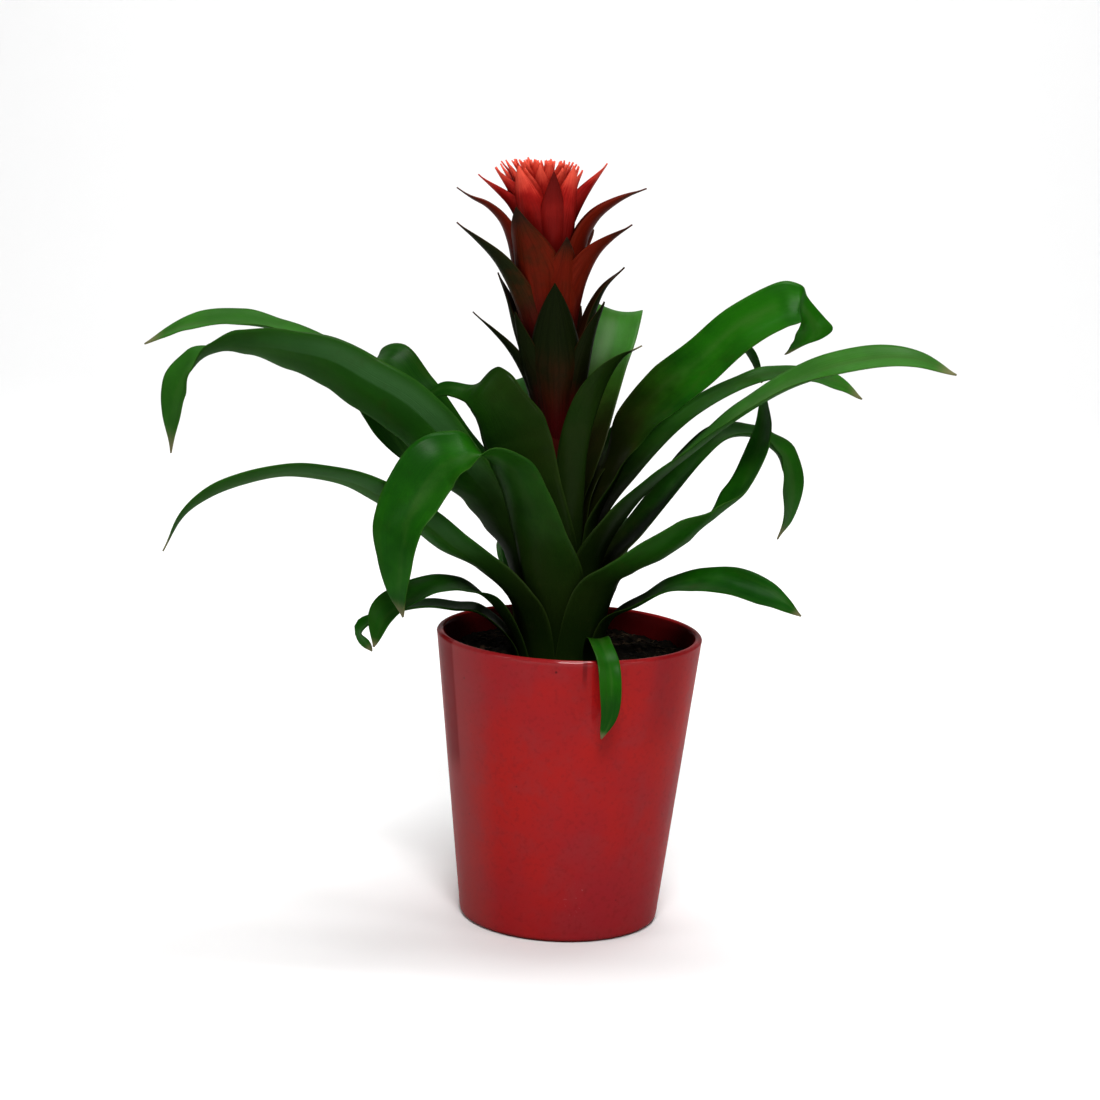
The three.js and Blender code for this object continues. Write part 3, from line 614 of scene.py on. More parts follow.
class Shader:
    """A material with a Principled surface, and methods that add the nodes before it."""

    def __init__(self, name, **surface):
        self.material = bpy.data.materials.new(name)
        self.material.use_nodes = True
        self.tree = self.material.node_tree
        self.surface = self.tree.nodes["Principled BSDF"]
        self.feed(**surface)

    def node(self, kind, settings=None, *inputs, output=0, **named):
        """A node with its settings, its inputs in order or by name, and one of its outputs as a wire."""
        made = self.tree.nodes.new(kind)
        for key, value in (settings or {}).items():
            setattr(made, key, value)
        for socket, value in [*zip(made.inputs, inputs), *((made.inputs[k], v) for k, v in named.items())]:
            self.join(socket, value)
        return Wire(self, made.outputs[output])

    def join(self, socket, value):
        """Links a wire to a socket, or sets the socket to a number, a vector or a colour of three values."""
        if isinstance(value, Wire):
            self.tree.links.new(value.socket, socket)
        elif value is not None:
            socket.default_value = (*value, 1.0) if socket.type == "RGBA" else value

    def feed(self, **surface):
        """Sets sockets of the surface: base_color, roughness and so on."""
        for key, value in surface.items():
            name = key.replace("_", " ").title().replace("Ior", "IOR")
            self.join(self.surface.inputs[name], value)

    def place(self):
        """Object coordinates."""
        return self.node("ShaderNodeTexCoord", output="Object")

    def value(self, attribute):
        """A value kept on the mesh's points."""
        return self.node("ShaderNodeAttribute", {"attribute_name": attribute}, output="Fac")

    def parts(self, vector):
        """The x, y and z of a vector."""
        split = self.node("ShaderNodeSeparateXYZ", None, vector)
        return tuple(Wire(self, split.socket.node.outputs[k]) for k in range(3))

    def across_and_along(self):
        """u, from 0 to 1 across a blade, and v, from its foot to its tip."""
        u, v, _ = self.parts(self.node("ShaderNodeUVMap", {"uv_map": "blade"}))
        return u, v

    def vector(self, x, y, z):
        """A vector from three values."""
        return self.node("ShaderNodeCombineXYZ", None, x, y, z)

    def scaled(self, vector, scale):
        """A vector, scaled along each axis."""
        return self.node("ShaderNodeMapping", {"vector_type": "POINT"}, vector, Scale=scale)

    def noise(self, vector, scale, detail=3.0, roughness=0.55):
        """Smooth noise from 0 to 1."""
        shape = {"Scale": scale, "Detail": detail, "Roughness": roughness}
        return self.node("ShaderNodeTexNoise", Vector=vector, **shape)

    def cells(self, vector, scale):
        """Distance to the nearest of many scattered points."""
        return self.node("ShaderNodeTexVoronoi", Vector=vector, Scale=scale, output="Distance")

    def mix(self, factor, first, second):
        """A colour from first, at factor 0 or less, to second, at factor 1 or more."""
        made = self.tree.nodes.new("ShaderNodeMix")
        made.data_type = "RGBA"
        for index, value in ((0, factor), (6, first), (7, second)):
            self.join(made.inputs[index], value)
        return Wire(self, made.outputs[2])

    def layers(self, colour, *layers):
        """A colour with others laid over it in turn, each as (amount, colour)."""
        for amount, paint in layers:
            colour = self.mix(amount, colour, paint)
        return colour

    def bump(self, height, distance, strength=1.0, below=None):
        """A normal that follows a height, over another normal if there is one."""
        shape = {"Height": height, "Distance": distance, "Strength": strength}
        return self.node("ShaderNodeBump", Normal=below, **shape)


def leaf_skin(settings):
    """Smooth waxy leaf: dark olive sheath, deep green blade with fine veins, paler margin and dry tip, with a
    painted highlight and painted sheen along the fold, and painted shade on the under face and in the middle
    of the rosette.
    """
    s = Shader("guzmania_leaf", specular_ior_level=0.0, coat_ior=1.45, coat_roughness=0.32)
    u, v = s.across_and_along()
    tone, over, size, crease = (s.value(name) for name in ("tone", "over", "size", "crease"))
    place = s.place()
    patches = s.noise(place, 28.0, 4.0)
    blotches = s.noise(place, 75.0, 3.0, 0.6)
    veins = s.noise(s.vector(u * size * 1.5, v * 3.0, tone), 1.0, 2.0, 0.5)
    bands = s.noise(s.vector(u * 2.6, v * 2.2, tone * 40.0), 1.0, 2.0, 0.5)
    # A pale line along the leaf's middle fold: a painted highlight.
    middle = (abs(u - 0.6) + (veins - 0.5) * 0.05).within(0.20, 0.03)
    fold = middle * (patches * 0.5 + bands * 0.5).within(0.40, 0.56)
    # A pale stripe beside the fold, towards the upper margin: a painted sheen.
    beside = (u + (veins - 0.5) * 0.04).within(0.60, 0.65) * u.within(1.0, 0.80)
    sheen = beside * v.within(0.22, 0.40) * v.within(0.80, 0.62) * crease
    green = s.layers(
        settings.deep_green,
        (patches.within(0.35, 0.68), settings.light_green),
        # Paler leaves, more so towards the tip: partly their own colour, partly painted sheen.
        (tone * (v.within(0.25, 0.75) * 0.325 + 0.175), (0.10, 0.25, 0.055)),
        (tone * -1.0, (0.004, 0.020, 0.001)),
        (veins.within(0.3, 0.72) * 0.15, (0.022, 0.11, 0.003)),
        (bands.within(0.46, 0.62) * 0.45, (0.020, 0.074, 0.006)),
        # painted highlight along the middle fold
        (fold * 0.45, (0.045, 0.115, 0.022)),
        # painted sheen beside the fold
        (sheen * 0.8, (0.060, 0.150, 0.055)),
    )
    x, y, _ = s.parts(place)
    # Near the plant's axis the leaves keep the dark olive of the sheaths: partly their own colour, partly
    # painted shade in the middle of the rosette.
    from_axis = ((x - PLANT_X * MM) ** 2 + y**2) ** 0.5
    blade = v.within(0.10, 0.40) * (from_axis + (blotches - 0.5) * 0.02).within(0.022, 0.070)
    margin = (abs(u - 0.5) * 2).within(0.93, 1.0)
    dry = (v + (veins - 0.5) * 0.03).within(0.955, 0.995)
    colour = s.layers(
        settings.sheath,
        (patches.within(0.3, 0.7), (0.017, 0.016, 0.003)),
        (blade, green),
        (blotches.within(0.55, 0.78) * (1 - v) * 0.5, (0.045, 0.033, 0.012)),
        (margin * patches.within(0.3, 0.6) * 0.22, (0.10, 0.15, 0.04)),
        # The under face darker: painted shade.
        ((1 - over) * 0.4, (0.014, 0.05, 0.007)),
        (dry * 0.8, (0.19, 0.16, 0.09)),
    )
    wax = 0.16 + (patches - 0.5) * 0.14 - (1 - over) * 0.04
    normal = s.bump(blotches, 0.0006, 0.25, s.bump(veins, 0.00035, 0.5))
    s.feed(base_color=colour, coat_weight=wax, normal=normal)
    return s.material


def bract_skin(name, foot, green, red, tip, tip_from):
    """Waxy bract: a magenta-red foot, a body from dark green to red by its redness, and a darker tip."""
    s = Shader(name, ior=1.45, specular_ior_level=0.06)
    u, v = s.across_and_along()
    redness, over = s.value("redness"), s.value("over")
    patches = s.noise(s.place(), 95.0, 4.0, 0.6)
    veins = s.noise(s.vector(u * 30.0, v * 3.0, redness * 9.0), 1.0, 2.0)
    wander = v + (patches - 0.5) * 0.30 + (veins - 0.5) * 0.12
    body = s.mix((redness + (patches - 0.5) * 0.7 + (v - 0.5) * -0.35).within(0.15, 0.75), green, red)
    colour = s.layers(
        foot,
        (wander.within(0.12, 0.42), body),
        (wander.within(tip_from, tip_from + 0.22) * redness.within(1.0, 0.9), tip),
        (veins.within(0.4, 0.75) * 0.25, (0.0, 0.0, 0.0)),
        ((abs(u - 0.5) * 2).within(0.9, 1.0) * 0.25, (0.10, 0.03, 0.015)),
        (over * 0.4, red),
    )
    s.feed(base_color=colour, roughness=0.45 + (patches - 0.5) * 0.2, normal=s.bump(veins, 0.0004, 0.6))
    return s.material


def crown_skin(settings):
    """Coral bract: a deep red foot, a coral body, a pale tip on inner bracts, and a dark outermost bract."""
    s = Shader("coral_bracts", ior=1.45, specular_ior_level=0.08)
    u, v = s.across_and_along()
    redness, over = s.value("redness"), s.value("over")
    patches = s.noise(s.place(), 110.0, 4.0, 0.6)
    veins = s.noise(s.vector(u * 26.0, v * 2.5, redness * 60.0), 1.0, 2.0)
    wander = v + (patches - 0.5) * 0.2 + (veins - 0.5) * 0.3
    dark = (v + (veins - 0.5) * 0.1).within(0.30, 0.95) * redness.within(0.40, 0.15)
    body = s.mix(patches.within(0.3, 0.7), settings.coral, (0.42, 0.020, 0.016))
    colour = s.layers(
        (0.12, 0.003, 0.003),
        (wander.within(0.35, 0.9), body),
        (wander.within(0.68, 0.98) * redness.within(0.3, 0.6), (0.80, 0.12, 0.075)),
        (dark, (0.085, 0.004, 0.004)),
        ((abs(u - 0.5) * 2).within(0.84, 1.0) * 0.35, (0.16, 0.008, 0.006)),
        ((1 - over) * 0.08, (0.5, 0.05, 0.03)),
    )
    s.feed(base_color=colour, roughness=0.45 + (patches - 0.5) * 0.2, normal=s.bump(veins, 0.0004, 0.6))
    return s.material


def glaze(settings):
    """Glossy red glaze over clay: cloudy depth, fine dark specks, a thin worn rim and a few pale scuffs, with
    painted reflections on the front and painted shade inside the pot.

    Places on the pot are in metres, and sideways goes from -1 at its left edge to 1 at its right.
    """
    s = Shader("red_glaze", specular_ior_level=0.0, coat_ior=1.5, coat_roughness=0.09)
    place = s.place()
    x, y, z = s.parts(place)
    clouds = s.noise(place, 14.0, 3.0)
    mottling = s.noise(place, 60.0, 4.0, 0.65)
    grain = s.noise(place, 420.0, 2.0, 0.6)
    specks = s.cells(place, 62.0).within(0.055, 0.02)
    rim = z.within(0.1462, 0.1496)
    foot = (z + (clouds - 0.5) * 0.002).within(0.0022, 0.0006)
    scuffs = s.noise(s.scaled(place, (1.0, 1.0, 2.2)), 330.0, 2.0, 0.7).within(0.66, 0.75)
    scuffed = (0.0085, -0.053, 0.0245)
    near = s.node("ShaderNodeVectorMath", {"operation": "DISTANCE"}, place, scuffed, output="Value")
    worn = scuffs * near.within(0.013, 0.004)
    front = y.within(0.0, -0.01)
    sideways = x / (x**2 + y**2) ** 0.5
    cloudy = (clouds - 0.5) * 0.02
    # A dark upright band on the front left: a painted reflection.
    painted_dark_reflection = (sideways + cloudy).within(-0.855, -0.875) * (sideways + 0.5).within(-0.49, -0.46)
    painted_dark_reflection = painted_dark_reflection * front * (z + cloudy).within(0.078, 0.095)
    # A darker patch on the front right: a painted reflection.
    painted_reflection_patch = sideways.within(0.55, 0.72) * sideways.within(0.93, 0.80) * front * z.within(0.088, 0.118)
    drip = (abs(x - 0.0078) + (grain - 0.5) * 0.0006).within(0.0016, 0.0006)
    drip = drip * front * z.within(0.133, 0.146)
    # Inside the pot the glaze is darker: painted shade.
    shaded_inside = s.value("inner")
    colour = s.layers(
        settings.glaze,
        (clouds.within(0.3, 0.7), (0.26, 0.016, 0.022)),
        (mottling.within(0.45, 0.7) * 0.55, (0.25, 0.024, 0.027)),
        (grain.within(0.5, 0.72) * 0.45, (0.19, 0.010, 0.012)),
        (specks * 0.8, (0.05, 0.004, 0.005)),
        (rim * 0.4, (0.22, 0.018, 0.02)),
        (foot * 0.7, (0.09, 0.02, 0.015)),
        (worn * 0.75, (0.55, 0.25, 0.24)),
        # A paler band on the front left: a painted reflection.
        (sideways.within(-0.50, -0.90) * front * 0.6, (0.25, 0.055, 0.056)),
        (painted_dark_reflection * 0.9 + painted_reflection_patch * 0.35, (0.17, 0.006, 0.009)),
        (drip * 0.6, (0.10, 0.004, 0.006)),
        (shaded_inside * 0.75, (0.05, 0.002, 0.002)),
    )
    lip = rim * front * abs(sideways).within(0.75, 0.2)
    coat = 0.22 + (grain - 0.5) * 0.10 + lip * 0.6
    s.feed(
        base_color=colour,
        coat_weight=coat * (1 - worn * 0.7) * (1 - foot * 0.8) * (1 - shaded_inside * 0.6),
        normal=s.bump(clouds, 0.0012, 0.25, s.bump(grain, 0.00005, 0.3)),
    )
    return s.material


def damp_mix():
    """Dark damp peat with paler bark and fibre specks."""
    s = Shader("damp_potting_mix", specular_ior_level=0.08)
    place = s.place()
    crumbs = s.noise(place, 260.0, 6.0, 0.7)
    lumps = s.cells(place, 210.0)
    colour = s.layers(
        (0.003, 0.0025, 0.002),
        (crumbs.within(0.35, 0.7), (0.014, 0.009, 0.005)),
        (lumps.within(0.12, 0.02) * 0.6, (0.045, 0.030, 0.018)),
    )
    s.feed(base_color=colour, roughness=0.95, normal=s.bump(crumbs + lumps, 0.0012, 0.8))
    return s.material


def bark(name, dark, pale, scale):
    """Fibrous woody matter: the stem, bark flakes or root fibres."""
    s = Shader(name, roughness=0.9, specular_ior_level=0.08)
    grain = s.noise(s.scaled(s.place(), (1.0, 1.0, 3.0)), scale, 4.0, 0.65)
    colour = s.mix((grain * 0.6 + s.value("tone") * 0.5).within(0.3, 0.8), dark, pale)
    s.feed(base_color=colour, normal=s.bump(grain, 0.0005, 0.6))
    return s.material


# Settings


def length_setting(name, description, default, **limits):
    """A size that the user can change, in mm."""
    return FloatProperty(name=name, description=description + ", in mm", default=default, **limits)


def colour_setting(name, description, default):
    """A colour that the user can change."""
    return FloatVectorProperty(name=name, description=description, subtype="COLOR", default=default)


class LeafSettings(PropertyGroup):
    spacing: length_setting("Station spacing", "Step along a leaf", 1.8, min=1.0)
    across: IntProperty(name="Points across", description="Points across a leaf", default=15, min=5)
    thickness: length_setting("Thickness", "Leaf thickness at the midrib", 0.75)
    deep_green: colour_setting("Deep green", "Darkest green of the blades", (0.0018, 0.047, 0.0008))
    light_green: colour_setting("Light green", "Palest green of the blades", (0.011, 0.100, 0.0015))
    sheath: colour_setting("Sheath", "Dark olive of the sheaths", (0.010, 0.016, 0.002))


class SpikeSettings(PropertyGroup):
    spacing: length_setting("Station spacing", "Step along a bract", 1.8, min=0.8)
    across: IntProperty(name="Points across", description="Points across a bract", default=13, min=5)
    thickness: length_setting("Thickness", "Bract thickness at the midrib", 0.75)
    coral: colour_setting("Coral", "Red of the crown", (0.33, 0.006, 0.006))


class PotSettings(PropertyGroup):
    height: length_setting("Height", "Pot height", 150.0)
    rim_radius: length_setting("Rim radius", "Outer radius at the rim", 68.0)
    foot_radius: length_setting("Foot radius", "Outer radius at the foot", 51.0)
    wall: length_setting("Wall", "Wall thickness", 4.0)
    mix_level: length_setting("Mix level", "Height of the potting mix", 138.0)
    glaze: colour_setting("Glaze", "Colour of the glaze", (0.34, 0.014, 0.012))


class StageSettings(PropertyGroup):
    key_power: FloatProperty(name="Key light", description="Power of the light", unit="POWER", default=26.0)
    floor: colour_setting("Floor", "Colour of the floor", (0.86, 0.86, 0.86))


# Operators


def leaf_path(azimuth, layer, points):
    """The midrib with its two foot points, where the sheath stands in the nest."""
    radius = FIRST_LAYER_RADIUS + (layer - 1) * LAYER_PITCH
    a = math.radians(azimuth)
    heights = FOOT_HEIGHT, FOOT_HEIGHT + FOOT_UPRIGHT
    return [*((radius * math.cos(a), radius * math.sin(a), z) for z in heights), *points]


def on_plant(points):
    """Moves points from round the plant's axis to where the plant stands in the pot."""
    return points + (PLANT_X, 0, 0)


class GUZMANIA_OT_leaves(Operator):
    """Builds every strap leaf as a fine blade over its plain solid"""

    bl_idname = "guzmania.leaves"
    bl_label = "Build leaves"

    def execute(self, context):
        settings = context.scene.guzmania_leaf
        skin = leaf_skin(settings)
        random = np.random.default_rng(11)
        for name, (azimuth, layer, width, points) in LEAVES.items():
            phase, drawn_tone = random.uniform(0, 6.3), random.uniform(0.0, 0.25)
            path, end = leaf_path(azimuth, layer, points), FOLDED_ENDS.get(name, ())
            heap = Heap()
            heap.add_blade(
                blade_rings(path, width, LEAF, settings, phase, end),
                on_plant,
                tone=PALE_LEAVES.get(name, drawn_tone),
                size=width,
                crease=PAINTED_SHEEN_LEAVES.get(name, 0.0),
            )
            join_body(heap.build("blade_" + name), skin, "leaf_" + name)
        return {"FINISHED"}


def bend_spike(points):
    """Moves upright points of the spike on to its own axis: -lean*t - bend*t^2 along X, with t the share of
    its length above its foot."""
    t = (points[:, 2] - SPIKE_FOOT) / SPIKE_LENGTH
    shift = PLANT_X - SPIKE_LEAN * t - SPIKE_BEND * t * t
    return points + np.stack([shift, np.zeros_like(t), np.zeros_like(t)], -1)


def spike_part(settings, core, bracts):
    """A turned core, and bracts as blades that hug it at their feet and curve away to their tips."""
    heap = Heap()
    vertices, quads, caps = revolve(core, CORE_SEGMENTS)
    heap.add(bend_spike(vertices), quads, caps, over=0.0, redness=0.5)
    for azimuth, width, redness, profile in bracts:
        a = math.radians(azimuth)
        path = [(r * math.cos(a), r * math.sin(a), z) for r, z in profile]
        heap.add_blade(blade_rings(path, width, BRACT, settings), bend_spike, redness=redness)
    return heap


def crown_spiral(count, outermost, innermost):
    """Bracts that follow one another by the golden angle, blended evenly from the outermost to the innermost.

    A midrib goes from foot to tip by the shares of the way out and of the way up in SPIRAL_CURVE.
    """
    for k, share in enumerate(np.linspace(0, 1, count)):
        width, foot, base, tip, top = np.asarray(outermost) * (1 - share) + np.asarray(innermost) * share
        profile = [(foot + out * (tip - foot), base + up * (top - base)) for out, up in SPIRAL_CURVE]
        yield SPIRAL_START + GOLDEN_ANGLE * k, width, 0.55 + 0.4 * k / count, profile


class GUZMANIA_OT_flower_stalk(Operator):
    """Builds the stalk with its dark lower bracts"""

    bl_idname = "guzmania.flower_stalk"
    bl_label = "Build flower stalk"

    def execute(self, context):
        skin = bract_skin(
            "dark_bracts",
            foot=(0.070, 0.005, 0.005),
            green=(0.012, 0.012, 0.003),
            red=(0.060, 0.010, 0.004),
            tip=(0.008, 0.013, 0.002),
            tip_from=0.45,
        )
        heap = spike_part(context.scene.guzmania_spike, STALK_CORE, STALK_BRACTS)
        join_body(heap.build("stalk_and_dark_bracts"), skin, "flower_stalk")
        return {"FINISHED"}


class GUZMANIA_OT_outer_bracts(Operator):
    """Builds the brownish red bracts below the crown"""

    bl_idname = "guzmania.outer_bracts"
    bl_label = "Build outer bracts"

    def execute(self, context):
        skin = bract_skin(
            "brown_red_bracts",
            foot=(0.085, 0.006, 0.006),
            green=(0.014, 0.018, 0.005),
            red=(0.135, 0.012, 0.004),
            tip=(0.022, 0.014, 0.008),
            tip_from=0.78,
        )
        heap = spike_part(context.scene.guzmania_spike, OUTER_CORE, OUTER_BRACTS)
        join_body(heap.build("brown_red_bracts_ring"), skin, "outer_bracts")
        return {"FINISHED"}


class GUZMANIA_OT_crown(Operator):
    """Builds the crown of coral bracts"""

    bl_idname = "guzmania.crown"
    bl_label = "Build crown"

    def execute(self, context):
        settings = context.scene.guzmania_spike
        spirals = [bract for spiral in CROWN_SPIRALS for bract in crown_spiral(*spiral)]
        heap = spike_part(settings, CROWN_CORE, [*CROWN_FRONT, *spirals])
        join_body(heap.build("crown_of_coral_bracts"), crown_skin(settings), "crown_bracts")
        return {"FINISHED"}


def pot_radius(pot, height):
    """Outer radius of the pot at a height: a straight taper from foot to rim."""
    return pot.foot_radius + (pot.rim_radius - pot.foot_radius) / pot.height * height


class GUZMANIA_OT_pot(Operator):
    """Builds the glazed pot: a turned body with a rounded heel, tapered sides and a half-round lip"""

    bl_idname = "guzmania.pot"
    bl_label = "Build pot"

    def execute(self, context):
        pot = context.scene.guzmania_pot
        lip = pot.wall / 2
        outside = np.linspace(STRAIGHT_OUTSIDE, pot.height - lip, 40)
        inside = np.linspace(pot.height - lip, STRAIGHT_INSIDE, 30)
        t = np.linspace(0, math.pi, 13)[1:-1]
        profile = [
            (0, 0),
            *((pot.foot_radius + out, z) for out, z in POT_HEEL),
            *zip(pot_radius(pot, outside), outside),
            *zip(pot.rim_radius - lip + lip * np.cos(t), pot.height - lip + lip * np.sin(t)),
            *zip(pot_radius(pot, inside) - pot.wall, inside),
            *((pot.foot_radius + out, z) for out, z in POT_FLOOR),
            (0, POT_FLOOR_TOP),
        ]
        vertices, quads, caps = revolve(profile, 128)
        reach = np.hypot(vertices[:, 0], vertices[:, 1])
        inner = reach < pot_radius(pot, vertices[:, 2]) - pot.wall + 0.5
        turned = mesh_object("turned_pot", vertices, quads, caps, attributes={"inner": inner})
        join_body(turned, glaze(pot), "pot")
        return {"FINISHED"}


def ground(x, y, level):
    """Low lumps of the potting mix: three crossed sine waves, with finer ones over them."""
    waves = np.sin(0.31 * x + 0.11 * y) + np.sin(0.17 * x - 0.29 * y + 2) + np.sin(0.05 * x + 0.4 * y + 4)
    fine = np.sin(1.1 * x + 0.7 * y) * np.sin(0.9 * y - 0.6 * x + 1)
    return level + 1.4 * waves / 3 + 0.45 * fine


def mix_radius(pot, height):
    """Radius of the potting mix at a height: a small clearance inside the pot's wall."""
    return pot_radius(pot, height) - pot.wall - MIX_CLEARANCE


def on_mix(angle, share, nest, wall, level):
    """Places on the mix: (1 - share) of a circle round the nest plus share of one at the wall."""
    x = (PLANT_X + nest * np.cos(angle)) * (1 - share) + wall * np.cos(angle) * share
    y = nest * np.sin(angle) * (1 - share) + wall * np.sin(angle) * share
    return x, y, ground(x, y, level)


def mix_body(pot, wall, random):
    """The potting mix as one closed body of rings.

    They go from its underside up the pot's wall, in over the crumbly surface with its small random rises,
    down to where the nest of sheaths stands, and down in the stem's socket.
    """
    angle = circle(MIX_SEGMENTS)
    share = np.linspace(0, 1, MIX_RINGS)[:, None]
    x, y, z = on_mix(angle, share, NEST_RADIUS, wall, pot.mix_level)
    surface = np.stack([x, y, z + random.normal(0, 0.22, x.shape)], -1)
    heel = mix_radius(pot, MIX_HEEL_TOP)
    nest_floor, socket_floor = FOOT_HEIGHT - MIX_BELOW_NEST, STEM_FOOT - MIX_BELOW_NEST
    rings = [
        level_ring(angle, heel - MIX_HEEL, MIX_UNDERSIDE),
        level_ring(angle, heel, MIX_HEEL_TOP),
        *surface[::-1],
        level_ring(angle, NEST_RADIUS, nest_floor, PLANT_X),
        level_ring(angle, STEM_SOCKET, nest_floor, PLANT_X),
        level_ring(angle, STEM_SOCKET, socket_floor, PLANT_X),
    ]
    return capped_rings(np.stack(rings), (0, 0, MIX_UNDERSIDE), (PLANT_X, 0, socket_floor))


def scattered(random, count, nest, wall, level):
    """Seeded places on the mix between the nest of sheaths and the wall."""
    angle = random.uniform(0, 2 * math.pi, count)
    return zip(*on_mix(angle, np.sqrt(random.uniform(0.04, 0.93, count)), nest, wall, level))


def bark_flakes(random, wall, level):
    """Bark flakes: boxes of eight corners, pulled out of true, leaned over, turned and half sunk."""
    heap = Heap()
    corners = np.array([(x, y, z) for z in (-1, 1) for y in (-1, 1) for x in (-1, 1)], float)
    faces = [(0, 2, 3, 1), (4, 5, 7, 6), (0, 1, 5, 4), (1, 3, 7, 5), (3, 2, 6, 7), (2, 0, 4, 6)]
    for x, y, z in scattered(random, FLAKES, NEST_RADIUS + 2.5, wall - 3.2, level):
        size = random.uniform(0.5, 1.0) * np.array(FLAKE_SIZE)
        shape = corners * size * random.uniform(0.65, 1.0, (8, 3))
        turn, lean = random.uniform(0, 6.3), random.normal(0, 0.35)
        turned = Matrix.Rotation(turn, 3, "Z") @ Matrix.Rotation(lean, 3, "Y")
        heap.add(shape @ np.array(turned).T + (x, y, z + 0.35), faces, tone=random.uniform(0, 1))
    return heap.build("bark_flakes", smooth=False)


def root_fibres(random, wall, level):
    """Root fibres: thin three-sided tubes on low arcs, which bend to one side as they go."""
    heap = Heap()
    t = np.linspace(-0.5, 0.5, 9)
    thick = 0.16 * (1 - 3 * t * t)[:, None]
    around = circle(3)
    for x, y, _ in scattered(random, FIBRES, NEST_RADIUS + 5, wall - 6, level):
        length, turn, curl = random.uniform(4, 11), random.uniform(0, 6.3), random.normal(0, 0.6)
        heading = turn + curl * t
        x, y = x + length * t * np.cos(heading), y + length * t * np.sin(heading)
        inside = np.minimum(1, (wall - 1.2) / np.hypot(x, y))
        x, y = x * inside, y * inside
        z = ground(x, y, level) + 0.5 + random.uniform(0.2, 1.0) * (0.25 - t * t) * 4
        sideways = thick * np.cos(around)
        tube = [
            x[:, None] - sideways * np.sin(heading)[:, None],
            y[:, None] + sideways * np.cos(heading)[:, None],
            z[:, None] + thick * np.sin(around),
        ]
        ends = [(2, 1, 0), (24, 25, 26)]
        heap.add(np.stack(tube, -1).reshape(-1, 3), ring_quads(9, 3), ends, tone=random.uniform(0.3, 1))
    return heap.build("root_fibres")


class GUZMANIA_OT_potting_mix(Operator):
    """Builds the crumbly surface of the potting mix, its bark flakes and its fibres"""

    bl_idname = "guzmania.potting_mix"
    bl_label = "Build potting mix"

    def execute(self, context):
        pot = context.scene.guzmania_pot
        random = np.random.default_rng(23)
        wall = mix_radius(pot, pot.mix_level)
        mix = mesh_object("crumbly_mix", *mix_body(pot, wall, random))
        join_body(mix, damp_mix(), "potting_mix")
        wood = bark("stem_wood", (0.030, 0.021, 0.010), (0.11, 0.085, 0.045), 180.0)
        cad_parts["short_stem"].material_slots[0].material = wood
        flake = bark("bark_flake", (0.005, 0.004, 0.003), (0.034, 0.021, 0.013), 400.0)
        join_body(bark_flakes(random, wall, pot.mix_level), flake)
        fibre = bark("root_fibre", (0.018, 0.012, 0.008), (0.085, 0.06, 0.036), 300.0)
        join_body(root_fibres(random, wall, pot.mix_level), fibre)
        return {"FINISHED"}


def area_light(name, place, target, size, power):
    """A soft rectangular light that faces its target."""
    data = bpy.data.lights.new(name, "AREA")
    data.shape, data.size, data.size_y, data.energy = "RECTANGLE", *size, power
    lamp = bpy.data.objects.new(name, data)
    lamp.location = place
    lamp.rotation_mode = "QUATERNION"
    lamp.rotation_quaternion = (Vector(target) - Vector(place)).to_track_quat("-Z", "Y")
    bpy.context.scene.collection.objects.link(lamp)


def paper_sheet():
    """Paper behind the pot: a level line, a quarter circle and an upright line, drawn out along X."""
    level = [(y, 0) for y in np.linspace(-PAPER_REACH, PAPER_BACK, 9)]
    t = np.linspace(0, math.pi / 2, 17)[1:]
    curve = np.stack([PAPER_BACK + PAPER_CURVE * np.sin(t), PAPER_CURVE * (1 - np.cos(t))], -1)
    line = np.concatenate([level, curve, [(PAPER_BACK + PAPER_CURVE, PAPER_TOP)]])
    x = np.linspace(-PAPER_REACH, PAPER_REACH, 9)
    row, column = np.indices((len(line), len(x)))
    grid = np.stack([x[column], line[row, 0], line[row, 1]], -1)
    a = (row * len(x) + column)[:-1, :-1]
    quads = np.stack([a, a + 1, a + 1 + len(x), a + len(x)], -1)
    return mesh_object("pale_floor", grid.reshape(-1, 3), quads)


def photo_camera():
    """The photograph's camera: it looks straight down, backs off by its distance, rolls, rises to its tilt
    and moves to its target."""
    data = bpy.data.cameras.new("photo_view")
    data.lens, data.sensor_width, data.clip_start, data.clip_end = CAMERA_LENS, CAMERA_SENSOR, 0.05, 30
    camera = bpy.data.objects.new("photo_view", data)
    roll = Matrix.Rotation(math.radians(CAMERA_ROLL), 4, "Z")
    raised = Matrix.Rotation(math.radians(90 - CAMERA_TILT), 4, "X")
    back = Matrix.Translation((0, 0, CAMERA_DISTANCE))
    camera.matrix_world = Matrix.Translation(CAMERA_TARGET) @ raised @ roll @ back
    bpy.context.scene.collection.objects.link(camera)
    return camera


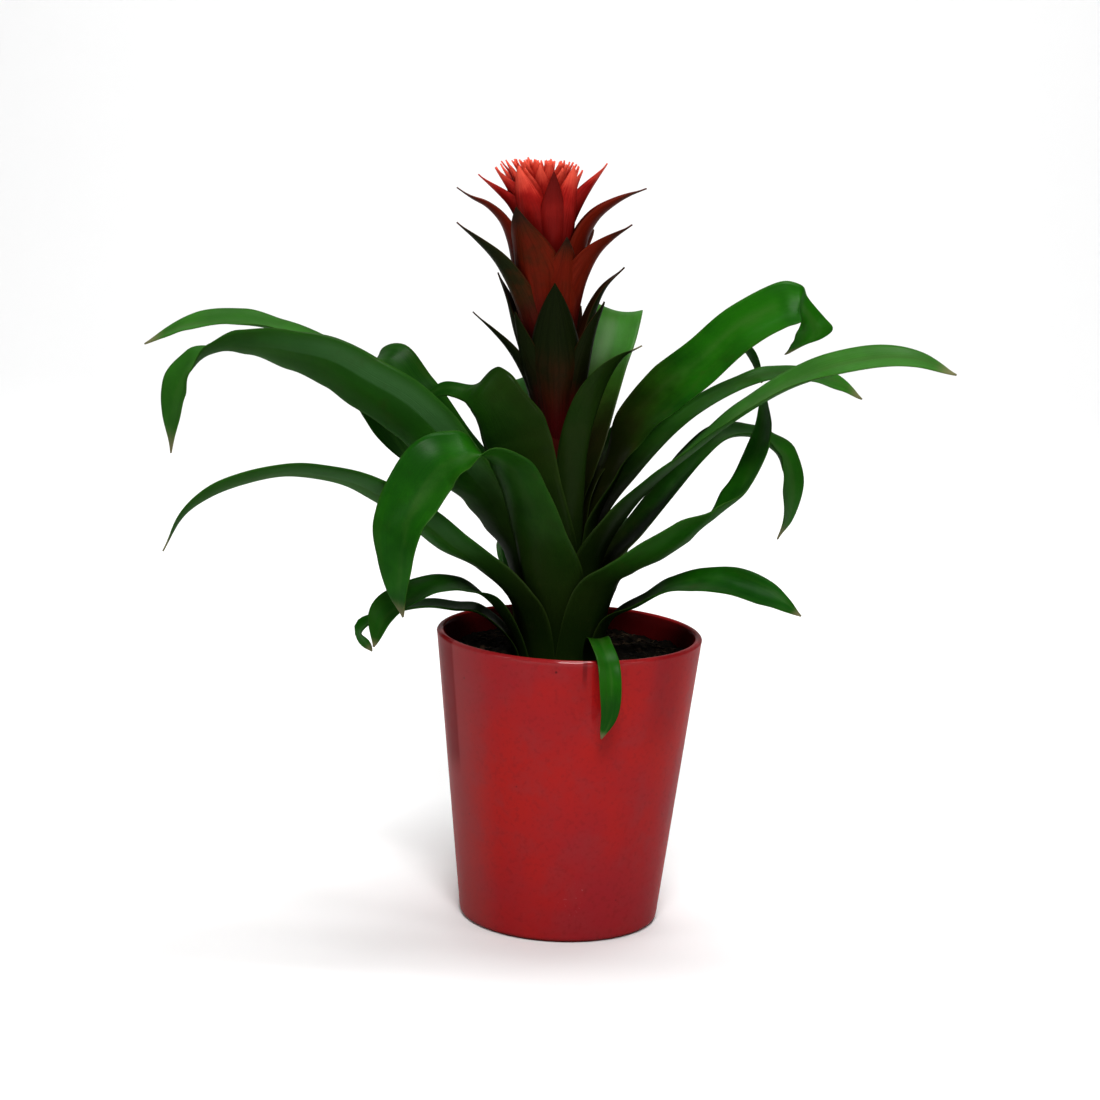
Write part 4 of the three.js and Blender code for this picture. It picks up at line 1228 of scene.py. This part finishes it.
class GUZMANIA_OT_stage(Operator):
    """Sets the camera, the floor that curves up behind the pot, and the soft lights"""

    bl_idname = "guzmania.stage"
    bl_label = "Set stage"

    def execute(self, context):
        scene, settings = context.scene, context.scene.guzmania_stage
        scene.camera = photo_camera()
        floor = paper_sheet()
        paper = Shader("pale_paper", roughness=0.8)
        tint = paper.noise(paper.place(), 3.0)
        paper.feed(base_color=paper.mix(tint * 0.03, settings.floor, (0.8, 0.8, 0.8)))
        floor.data.materials.append(paper.material)
        for name, (place, target, size, share) in LIGHTS.items():
            area_light(name, place, target, size, settings.key_power * share)
        world = bpy.data.worlds.new("soft_white")
        world.use_nodes = True
        sky = world.node_tree.nodes["Background"].inputs
        sky["Color"].default_value = (1, 1, 1, 1)
        sky["Strength"].default_value = WORLD_STRENGTH
        scene.world = world
        scene.view_settings.view_transform = "Standard"
        scene.view_settings.look = "Medium High Contrast"
        return {"FINISHED"}


class GUZMANIA_PT_panel(Panel):
    """Lists the steps that build the potted guzmania"""

    bl_idname = "GUZMANIA_PT_panel"
    bl_label = "Guzmania"
    bl_space_type = "VIEW_3D"
    bl_region_type = "UI"
    bl_category = "Guzmania"

    def draw(self, context):
        for step in STEPS:
            self.layout.operator(step.bl_idname)
        for owner, group in GROUPS.items():
            for name in group.__annotations__:
                self.layout.prop(getattr(context.scene, owner), name)


STEPS = (
    GUZMANIA_OT_stage,
    GUZMANIA_OT_pot,
    GUZMANIA_OT_potting_mix,
    GUZMANIA_OT_leaves,
    GUZMANIA_OT_flower_stalk,
    GUZMANIA_OT_outer_bracts,
    GUZMANIA_OT_crown,
)
GROUPS = {
    "guzmania_leaf": LeafSettings,
    "guzmania_spike": SpikeSettings,
    "guzmania_pot": PotSettings,
    "guzmania_stage": StageSettings,
}


def register():
    """Adds the settings, the operators and the panel to Blender."""
    for kind in (*GROUPS.values(), *STEPS, GUZMANIA_PT_panel):
        bpy.utils.register_class(kind)
    for owner, group in GROUPS.items():
        setattr(bpy.types.Scene, owner, PointerProperty(type=group))


def unregister():
    """Takes away what register added."""
    for owner in GROUPS:
        delattr(bpy.types.Scene, owner)
    for kind in (GUZMANIA_PT_panel, *reversed(STEPS), *reversed(GROUPS.values())):
        bpy.utils.unregister_class(kind)


def main():
    """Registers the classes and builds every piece."""
    register()
    bpy.ops.guzmania.stage()
    bpy.ops.guzmania.pot()
    bpy.ops.guzmania.potting_mix()
    bpy.ops.guzmania.leaves()
    bpy.ops.guzmania.flower_stalk()
    bpy.ops.guzmania.outer_bracts()
    bpy.ops.guzmania.crown()


if __name__ == "__main__":
    main()
